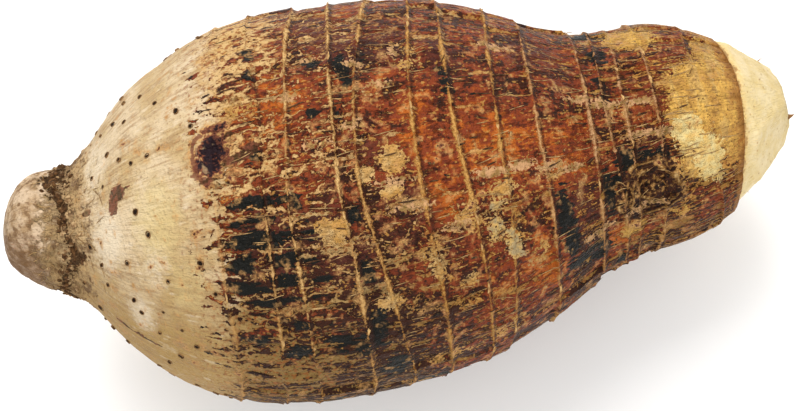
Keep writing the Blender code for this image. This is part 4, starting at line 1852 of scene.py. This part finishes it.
    def knob(self) -> Feed:
        """Colour of the knob where another corm was joined on."""
        w, finish = self.w, self.finish
        base = self.over(finish.knob_light, finish.knob_warm, self.medium, -0.12, 0.14)
        # Through the low mask the knob's -Y flank and underside turn darker and redder: partly painted
        # shade, partly darker, worn skin
        lower = self.plus(self.low, small=1.4, medium=0.8)
        base = self.over(base, finish.knob_dark, lower, 0.0, 0.75, 0.75)
        blot = self.plus(0.0, medium=1.6, small=1.8, low=0.25)
        base = self.over(base, finish.knob_dark, blot, 0.1, 0.4, 0.6)
        worn = self.plus(self.streak, medium=1.6, low=0.35)
        base = self.over(base, finish.knob_dark, worn, 0.16, 0.46, 0.5)
        red = w.times(w.span(worn, -0.05, -0.35), w.span(self.low, 0.15, 0.4), 0.5)
        base = w.mix(red, base, finish.knob_red)
        base = w.mix(w.times(self.specks(4.5), 0.8), base, finish.knob_dark)
        return self.over(base, finish.knob_dark, self.fine, 0.06, 0.18, 0.4)

    def flesh(self) -> Feed:
        """Colour of the trimmed point."""
        w, finish = self.w, self.finish
        base = self.over(finish.flesh_light, finish.flesh_warm, self.medium, -0.15, 0.15)
        base = w.mix(w.times(self.specks(2.4), 0.5), base, finish.edge_brown)
        base = self.over(base, finish.peel_light, self.thin, 0.15, 0.5, 0.3)
        rim = self.plus(self.place, medium=5.0, fine=3.0)
        base = w.mix(w.span(rim, 211.8, 214.4, 0.55, 0.0), base, finish.peel_light)
        dark_edge = self.darkened(finish.edge_brown, (0.5, 0.4, 0.4))
        return w.mix(w.span(rim, 211.8, 212.9, 0.6, 0.0), base, dark_edge)


@dataclass(frozen=True)
class PlainFinish:
    """A mottled, fibrous finish for the small pieces."""

    name: str
    light: Colour
    dark: Colour
    size: float = 1.5
    roughness: float = 0.75
    bump: float = 0.15
    hollow: Colour = (0.012, 0.006, 0.003)

    def make(self, shared: SharedEffects) -> bpy.types.Material:
        """Builds the material.

        Args:
            shared: The node groups that materials share.

        Returns:
            The material.
        """
        material = bpy.data.materials.new(self.name)
        material.use_nodes = True
        w = Wiring(material.node_tree)
        shader = material.node_tree.nodes["Principled BSDF"]
        spot = w.node("ShaderNodeTexCoord", {}, {}).outputs["Object"]
        spot = w.scaled(spot, (1000, 1000, 1000))
        mottle = w.group(
            shared.mottle, {"Vector": spot, "Size": self.size, "First": self.light, "Second": self.dark}
        )
        hollow = w.span(w.attribute("hollow"), 0.35, 0.75)
        w.feed(shader.inputs["Base Color"], w.mix(hollow, mottle.outputs["Colour"], self.hollow))
        w.feed(shader.inputs["Roughness"], w.span(mottle.outputs["Mask"], 0, 1, self.roughness, 0.9))
        shader.inputs["Specular IOR Level"].default_value = 0.15
        height = w.times(w.noise(spot, 1 / 0.6, 2), self.bump)
        bump = w.node("ShaderNodeBump", {}, {"Strength": 0.8, "Distance": MM, "Height": height})
        w.feed(shader.inputs["Normal"], bump.outputs["Normal"])
        return material


@dataclass
class Studio:
    """Pale floor, soft lights and the camera at the photograph's viewing angle."""

    azimuth: float = -10.41
    elevation: float = 75.0
    distance: float = 0.60
    target: Triple = (-0.00394, -0.00474, 0.057)
    lens: float = 93.66
    floor_size: float = 6.0
    sky_strength: float = 0.85

    def build(self) -> None:
        """Makes the floor, the lights, the world and the camera."""
        self.add_floor()
        self.add_light("key", (-0.15, 0.75, 1.15), 0.9, 15.5, (1.0, 0.985, 0.96))
        self.add_light("fill", (0.2, -0.9, 0.9), 1.2, 6.0, (1.0, 0.98, 0.95))
        world = bpy.context.scene.world or bpy.data.worlds.new("World")
        bpy.context.scene.world = world
        world.use_nodes = True
        background = world.node_tree.nodes["Background"]
        background.inputs["Color"].default_value = (1, 1, 1, 1)
        background.inputs["Strength"].default_value = self.sky_strength
        bpy.context.scene.view_settings.view_transform = "Standard"
        self.add_camera()

    def add_floor(self) -> None:
        """Makes the floor, which isn't part of the object."""
        bpy.ops.mesh.primitive_plane_add(size=self.floor_size)
        floor = bpy.context.object
        floor.name = "floor"
        material = bpy.data.materials.new("pale_floor")
        material.use_nodes = True
        shader = material.node_tree.nodes["Principled BSDF"]
        w = Wiring(material.node_tree)
        spot = w.node("ShaderNodeTexCoord", {}, {}).outputs["Object"]
        tint = w.mix(w.noise(spot, 30.0, 2), (0.93, 0.93, 0.93), (0.95, 0.95, 0.95))
        w.feed(shader.inputs["Base Color"], tint)
        shader.inputs["Roughness"].default_value = 0.9
        floor.data.materials.append(material)

    def add_light(
        self, name: str, place: Sequence[float], size: float, power: float, colour: Sequence[float]
    ) -> None:
        """Adds a soft square light that faces the corm.

        Args:
            name: The light's name.
            place: Where it is, in metres.
            size: Length of its sides, in metres.
            power: Its power in watts.
            colour: Its colour.
        """
        lamp = bpy.data.lights.new(name, "AREA")
        lamp.shape = "SQUARE"
        lamp.size = size
        lamp.energy = power
        lamp.color = colour
        light = bpy.data.objects.new(name, lamp)
        bpy.context.scene.collection.objects.link(light)
        light.location = place
        aim = Vector(self.target) - Vector(place)
        light.rotation_euler = aim.to_track_quat("-Z", "Y").to_euler()

    def add_camera(self) -> None:
        """Puts the camera where the photograph was taken from."""
        turn, rise = math.radians(self.azimuth), math.radians(self.elevation)
        back = Vector((math.sin(turn) * math.cos(rise), -math.cos(turn) * math.cos(rise), math.sin(rise)))
        right = Vector((math.cos(turn), math.sin(turn), 0))
        up = back.cross(right)
        camera = bpy.data.objects.new("camera", bpy.data.cameras.new("camera"))
        bpy.context.scene.collection.objects.link(camera)
        placed = Matrix((right, up, back)).transposed().to_4x4()
        placed.translation = Vector(self.target) + self.distance * back
        camera.matrix_world = placed
        camera.data.lens = self.lens
        camera.data.sensor_width = 36
        camera.data.sensor_fit = "HORIZONTAL"
        camera.data.clip_start = 0.01
        camera.data.clip_end = 20
        bpy.context.scene.camera = camera


# Blotches seen in the photo, one table for each cover
CHAR = ovals(
    (178, 115.5, 8, 3.2), (184.5, 118, 3.6, 4.6, 0.9), (173, 112, 4, 3.4, 0.9),
    (156, 150, 5, 3.5, 0.9), (163, 155, 5, 3, 0.9), (80, 104, 2.4, 2, 0.8),
    (84, 126, 3.5, 1.7, 0.8), (71.5, 89, 2.9, 2.4, 0.8), (73.7, 53, 1.7, 2.8, 0.9),
    (72.7, 63, 2.3, 1.6, 0.9), (90.5, 62, 3.5, 2.8), (98.5, 67, 2.6, 7.3, 0.9),
    (94.5, 80, 1.7, 1.9, 0.8), (87.9, 80, 2, 1.6), (104.6, 63, 1.7, 3.1, 0.8),
    (70.5, 102, 8.7, 1.7, 1.1), (67.5, 107, 7.5, 1.1), (70, 112.5, 9, 2.5, 1.15),
    (75.1, 119, 4.6, 2.4, 1.1), (64.4, 119, 3.8, 2.4, 1.1), (75, 125, 4.6, 1.9, 1.1),
    (66, 126.5, 6.2, 1.7, 1.1), (71.5, 131, 7.5, 1.5, 1.1), (82, 120, 3.2, 1.3, 0.9),
    (94.4, 109, 2, 2.9), (81.7, 113, 2.9, 1.8, 0.8), (95.2, 125, 2.3, 4.3),
    (82.7, 131, 2.3, 1.6, 0.9), (77, 139, 3.5, 1.7, 0.8), (66.8, 144, 4.1, 2.2, 0.8),
    (76.4, 149, 3.8, 3.6, 0.9), (87, 147, 4.1, 3.1), (96.9, 143, 3.5, 5.1),
    (94.2, 149, 5.2, 4, 0.9), (101.4, 163, 4.6, 6.6), (152, 126, 2.9, 8.1),
    (153.2, 137, 2.6, 7.5), (166.9, 125, 2.4, 7.4), (170.5, 121, 4.1, 3),
    (161.1, 148, 4.1, 3.2, 0.9), (169.8, 169, 1.7, 3.9), (176.3, 32, 6.4, 5.8, 0.9),
    (174.4, 57, 3.5, 4.3, 0.8), (172.1, 76, 2.9, 3, 0.8), (171.9, 84, 2.3, 2.2, 0.9),
    (126, 73, 2.3, 7.5, 0.6), (189.8, 99, 2.9, 1.7, 0.8),
)
PEEL = ovals(
    (106.5, 96, 4.1, 4.1, 0.9), (99.1, 99, 2.9, 2.6, 0.9), (104.8, 104, 3.5, 2.3, 0.9),
    (88.2, 113, 5.2, 4.1, 0.8), (100.6, 136, 4.1, 3.4, 0.8), (113.9, 128, 2.9, 6.3, 0.7),
    (117.5, 66, 3.8, 9, 0.5), (131.9, 124, 3.5, 2.5, 0.7), (122.2, 135, 2.9, 2.7, 0.7),
    (143.9, 135, 2.9, 3.3, 0.5), (187, 42, 9.5, 7.5, 0.95), (195.7, 97, 7, 7.6, 1.3),
    (200.6, 87, 9.5, 10, 1.3), (207, 88, 5.5, 22, 1.1), (197.1, 122, 8.1, 9.1, 0.9),
    (173, 151, 4.6, 2.8), (188.5, 149, 4, 2.6, 0.7), (118, 166, 8, 4, 0.42),
    (132, 162, 7, 5, 0.42), (67.9, 73, 5.8, 4.8, 0.4), (135.5, 111, 5.8, 3, 0.6),
    (124.7, 116, 8.7, 4, 0.5),
)
WARM = ovals(
    (133.5, 100, 13, 12, 0.8), (153.2, 106, 10, 7, 0.6), (145, 143, 7, 8, 1.2),
    (172, 152, 6, 5, 1.5), (115.7, 89, 5.8, 12, 0.7), (120, 110, 8.7, 7.3, 0.9),
    (133, 150, 9, 14, 0.7), (119, 136, 6, 6, 0.6), (200, 154, 6, 8, 0.6),
    (142.9, 136, 6, 7, 0.8), (138.8, 142, 3.5, 4.4, 0.9), (172.6, 155, 4.1, 2.7),
    (71, 81, 8.7, 9, 0.6), (77.2, 70, 8, 9, 0.6), (44, 103, 8, 16, 0.65),
    (50, 125, 7, 12, 0.5),
)
DUSK = ovals(
    (93.1, 46, 8.1, 12.3, 0.7), (112.3, 55, 8.7, 14.4, 0.8), (127.3, 65, 6, 13.3, 0.7),
    (152.9, 60, 12, 12, 0.7), (140.8, 70, 5.8, 12.9, 0.5), (160.3, 74, 8.7, 10.2, 0.6),
    (183, 82, 8.7, 9.5, 0.5), (120.4, 149, 6, 5, 0.7), (119.6, 124, 3.5, 4.9, 0.8),
    (103, 135, 9, 11, 0.6), (72, 116, 9, 15, 0.8), (80, 132, 9, 10, 0.6),
    (94, 120, 6, 9, 0.7), (160, 130, 12, 12, 0.7), (180, 112, 8, 8, 0.6),
    (157, 147, 9, 8, 0.6), (107, 112, 10, 16, 0.75), (88, 118, 10, 18, 0.75),
    (99, 58, 6, 9, 0.9), (100, 90, 7, 8, 0.5), (107.6, 153, 8.7, 8.6, 0.7),
)
PALE = ovals(
    (193.6, 109, 4.6, 6, 1.15), (199, 126, 4.8, 7.5, 1.15), (136, 128, 3, 5.6, 0.8),
    (131.5, 122, 2.6, 3.4, 0.7), (30.5, 110, 4.2, 9), (43, 120, 4, 7, 0.5),
    (38, 143, 3.4, 6, 0.8), (27.5, 62, 4, 12, 0.8), (15.6, 84, 1.8, 2.6, 1.2),
    (17.6, 124, 1.7, 2.8, 1.3), (133.5, 115, 4.5, 1.6, 0.7),
)
CREASE = ovals(
    (133, 105, 6.5, 1.7), (142, 104.5, 5.5, 1.7), (150, 107, 5, 1.5, 0.9),
    (157, 109.5, 4.5, 1.4, 0.9), (143, 59.5, 5, 1.6), (164, 83, 6, 1.5, 0.9),
    (172, 86, 6, 1.8, 0.9), (181, 86.5, 5, 1.4, 0.9), (181, 103, 8, 1.5, 0.9),
    (187, 104, 3, 1.8, 0.9), (106, 102.5, 7.5, 1.4, 0.9), (109, 110, 6.5, 1.6, 0.9),
    (89.5, 60, 4.5, 1.4, 0.8), (82.5, 73.5, 4, 1.5, 0.9), (102, 65, 4.5, 1.5, 0.9),
    (108.5, 74, 4.5, 1.4, 0.8), (88, 89, 5.5, 1.4, 0.8), (97.5, 85, 4, 1.6, 0.9),
    (121, 118, 5, 1.8, 0.8), (114, 62, 1.8, 4, 0.8), (178, 139, 10, 1.5, 0.8),
    (162, 141, 6, 1.5, 0.8),
)
STAIN = ovals(
    (33.8, 89, 2.1, 2.3, 1.25), (32.6, 94.5, 1.3, 2.6, 1.1), (25, 93, 1.1, 1.2),
    (65.8, 88.5, 4.2, 1.5), (70.5, 86.5, 3, 1.7, 0.9), (65.5, 80.5, 1.6, 1, 0.9),
    (58.5, 93.5, 2.8, 0.9, 0.9), (10.5, 121, 1.6, 1.5, 0.9), (14, 124, 1.5, 1.8, 0.8),
    # The row at station 37, angle 157 is a thin dark line along a crease of the lower shoulder
    (37, 157, 9, 0.7, 0.8), (36, 88, 3.4, 0.6, 0.7),
)
BARE = ovals(
    (79, 132, 9, 8, -0.15), (82, 150, 12, 8, -0.2), (92, 120, 8, 8, -0.10),
    (125, 124, 20, 12, -0.22), (109, 122, 8, 16, -0.22), (130, 147, 16, 12, -0.14),
    (201, 52, 8, 10, 0.5), (201, 154, 9, 12, 0.45), (130, 85, 22, 16, 0.25),
    (150, 75, 22, 18, 0.2), (66, 55, 7, 18, -0.16), (71, 40, 11, 20, -0.38),
    (76, 160, 12, 14, -0.30), (72, 92, 6, 7, -0.10), (70, 117, 11, 19, -0.08),
)
LINE = ovals(
    (65, 62, 5, 26), (65, 90, 4, 10, 0.8), (75, 60, 5, 36),
    (75, 95, 4, 12, 0.6), (75, 165, 6, 14, 0.8), (173, 120, 4, 20, 0.4),
    (186, 132, 9, 9, 0.9), (203, 110, 5, 40, 0.8),
)

# Angles that the photo doesn't show
HIDDEN_SIDE = (182, 382)


def scattered(
    seed: int, count: int, stations: Sequence[float], sizes: Sequence[float], strengths: Sequence[float]
) -> tuple[Blotch, ...]:
    """Draws blotches for the side that the photo doesn't show.

    Args:
        seed: Seed of the draws.
        count: How many blotches.
        stations: Lowest and highest station.
        sizes: Least and greatest half-length, then least and greatest half-width.
        strengths: Least and greatest strength.

    Returns:
        The blotches.
    """
    draw = random.Random(seed)
    found = []
    for _ in range(count):
        size = (draw.uniform(sizes[0], sizes[1]), draw.uniform(sizes[2], sizes[3]))
        station, degrees = draw.uniform(*stations), draw.uniform(*HIDDEN_SIDE)
        found.append(Blotch(station, degrees, *size, draw.uniform(*strengths)))
    return tuple(found)


def place_piece(piece: Piece, material: bpy.types.Material) -> None:
    """Gives a finished piece its material and its body, and logs its face count.

    Args:
        piece: The finished piece.
        material: Its material.
    """
    piece.data.materials.clear()
    piece.data.materials.append(material)
    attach(piece, BODY)
    LOG.info("%s: %d faces", piece.name, len(piece.data.polygons))


def main() -> None:
    """Builds the corm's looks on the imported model, then the studio."""
    logging.basicConfig(level=logging.INFO, format="%(message)s")
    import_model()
    bpy.ops.object.select_all(action="DESELECT")
    shared = SharedEffects()
    form = CormForm()
    blotches = {
        Cover.BARK: BARE + scattered(31, 16, (66, 200), (6, 16, 6, 14), (-0.25, 0.15)),
        Cover.CHAR: CHAR + scattered(32, 60, (62, 198), (1.8, 6.5, 1.7, 6.5), (0.7, 1.0)),
        Cover.PEEL: PEEL + scattered(33, 18, (76, 196), (2.5, 6.0, 2.4, 6.0), (0.5, 0.9)),
        Cover.WARM: WARM + scattered(34, 18, (40, 180), (5, 14, 5, 14), (0.5, 0.9)),
        Cover.DUSK: DUSK + scattered(35, 18, (80, 190), (6, 12, 6, 13), (0.5, 0.8)),
        Cover.PALE: PALE + scattered(36, 9, (26, 56), (2.5, 4.5, 3.0, 7.0), (0.7, 1.0)),
        Cover.STAIN: STAIN + scattered(37, 6, (28, 52), (1.5, 3.0, 1.5, 2.5), (0.6, 0.9)),
        Cover.CREASE: CREASE + scattered(38, 22, (76, 188), (3.5, 8.0, 1.4, 1.8), (0.7, 1.0)),
        Cover.LINE: LINE,
    }
    skin = Skin(form, blotches=blotches).build()
    place_piece(skin, SkinFinish().make(shared))
    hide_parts(NODE)
    surface = SkinSurface(form, skin)
    stub = PlainFinish("root_stub", (0.26, 0.145, 0.06), (0.08, 0.038, 0.015), 1.2)
    dark_crumb = PlainFinish("collar_crumb", (0.13, 0.060, 0.020), (0.030, 0.012, 0.004), 0.9)
    tan_crumb = PlainFinish("collar_chip", (0.42, 0.28, 0.14), (0.17, 0.09, 0.038), 1.0)
    dry = PlainFinish("dry_scar_edge", (0.56, 0.35, 0.14), (0.28, 0.14, 0.045), 1.6)
    tan_fibre = PlainFinish("dry_fibre", (0.46, 0.29, 0.12), (0.16, 0.08, 0.03), 1.6)
    dark_fibre = PlainFinish("dark_fibre", (0.10, 0.045, 0.018), (0.02, 0.009, 0.004), 1.2)
    torn = PlainFinish("torn_fibre", (0.30, 0.15, 0.05), (0.12, 0.05, 0.02), 0.8)
    path = Skin.collar_path
    pieces = (
        (RootStubs(surface, "root_stubs", 11), stub),
        (CollarCrumbs(surface, "collar_crumbs", 12, path=path), dark_crumb),
        (
            CollarCrumbs(surface, "collar_chips", 13, count=300, stations=(12.0, 28.0), radii=(0.3, 0.85)),
            tan_crumb,
        ),
        (Fibres(surface, "collar_fibres", 14), tan_fibre),
        (ScarFringe(surface, "scar_fringe", 15, skipped=LINE), dry),
        (CutBarbs(surface, "cut_barbs", 16), torn),
        (
            Fibres(
                surface, "bark_fibres", 17, count=520, stations=(63.0, 206.0), lengths=(3.0, 9.0),
                spread=7.0, radius=0.15, flat=1.0, curve=0.02,
            ),
            tan_fibre,
        ),
        (
            Fibres(
                surface, "bark_slivers", 18, count=240, stations=(60.0, 204.0), lengths=(2.5, 6.0),
                spread=8.0, radius=0.24, flat=0.6, curve=0.02,
            ),
            dark_fibre,
        ),
    )
    for maker, finish in pieces:
        place_piece(maker.build(), finish.make(shared))
    Studio().build()


if __name__ == "__main__":
    main()
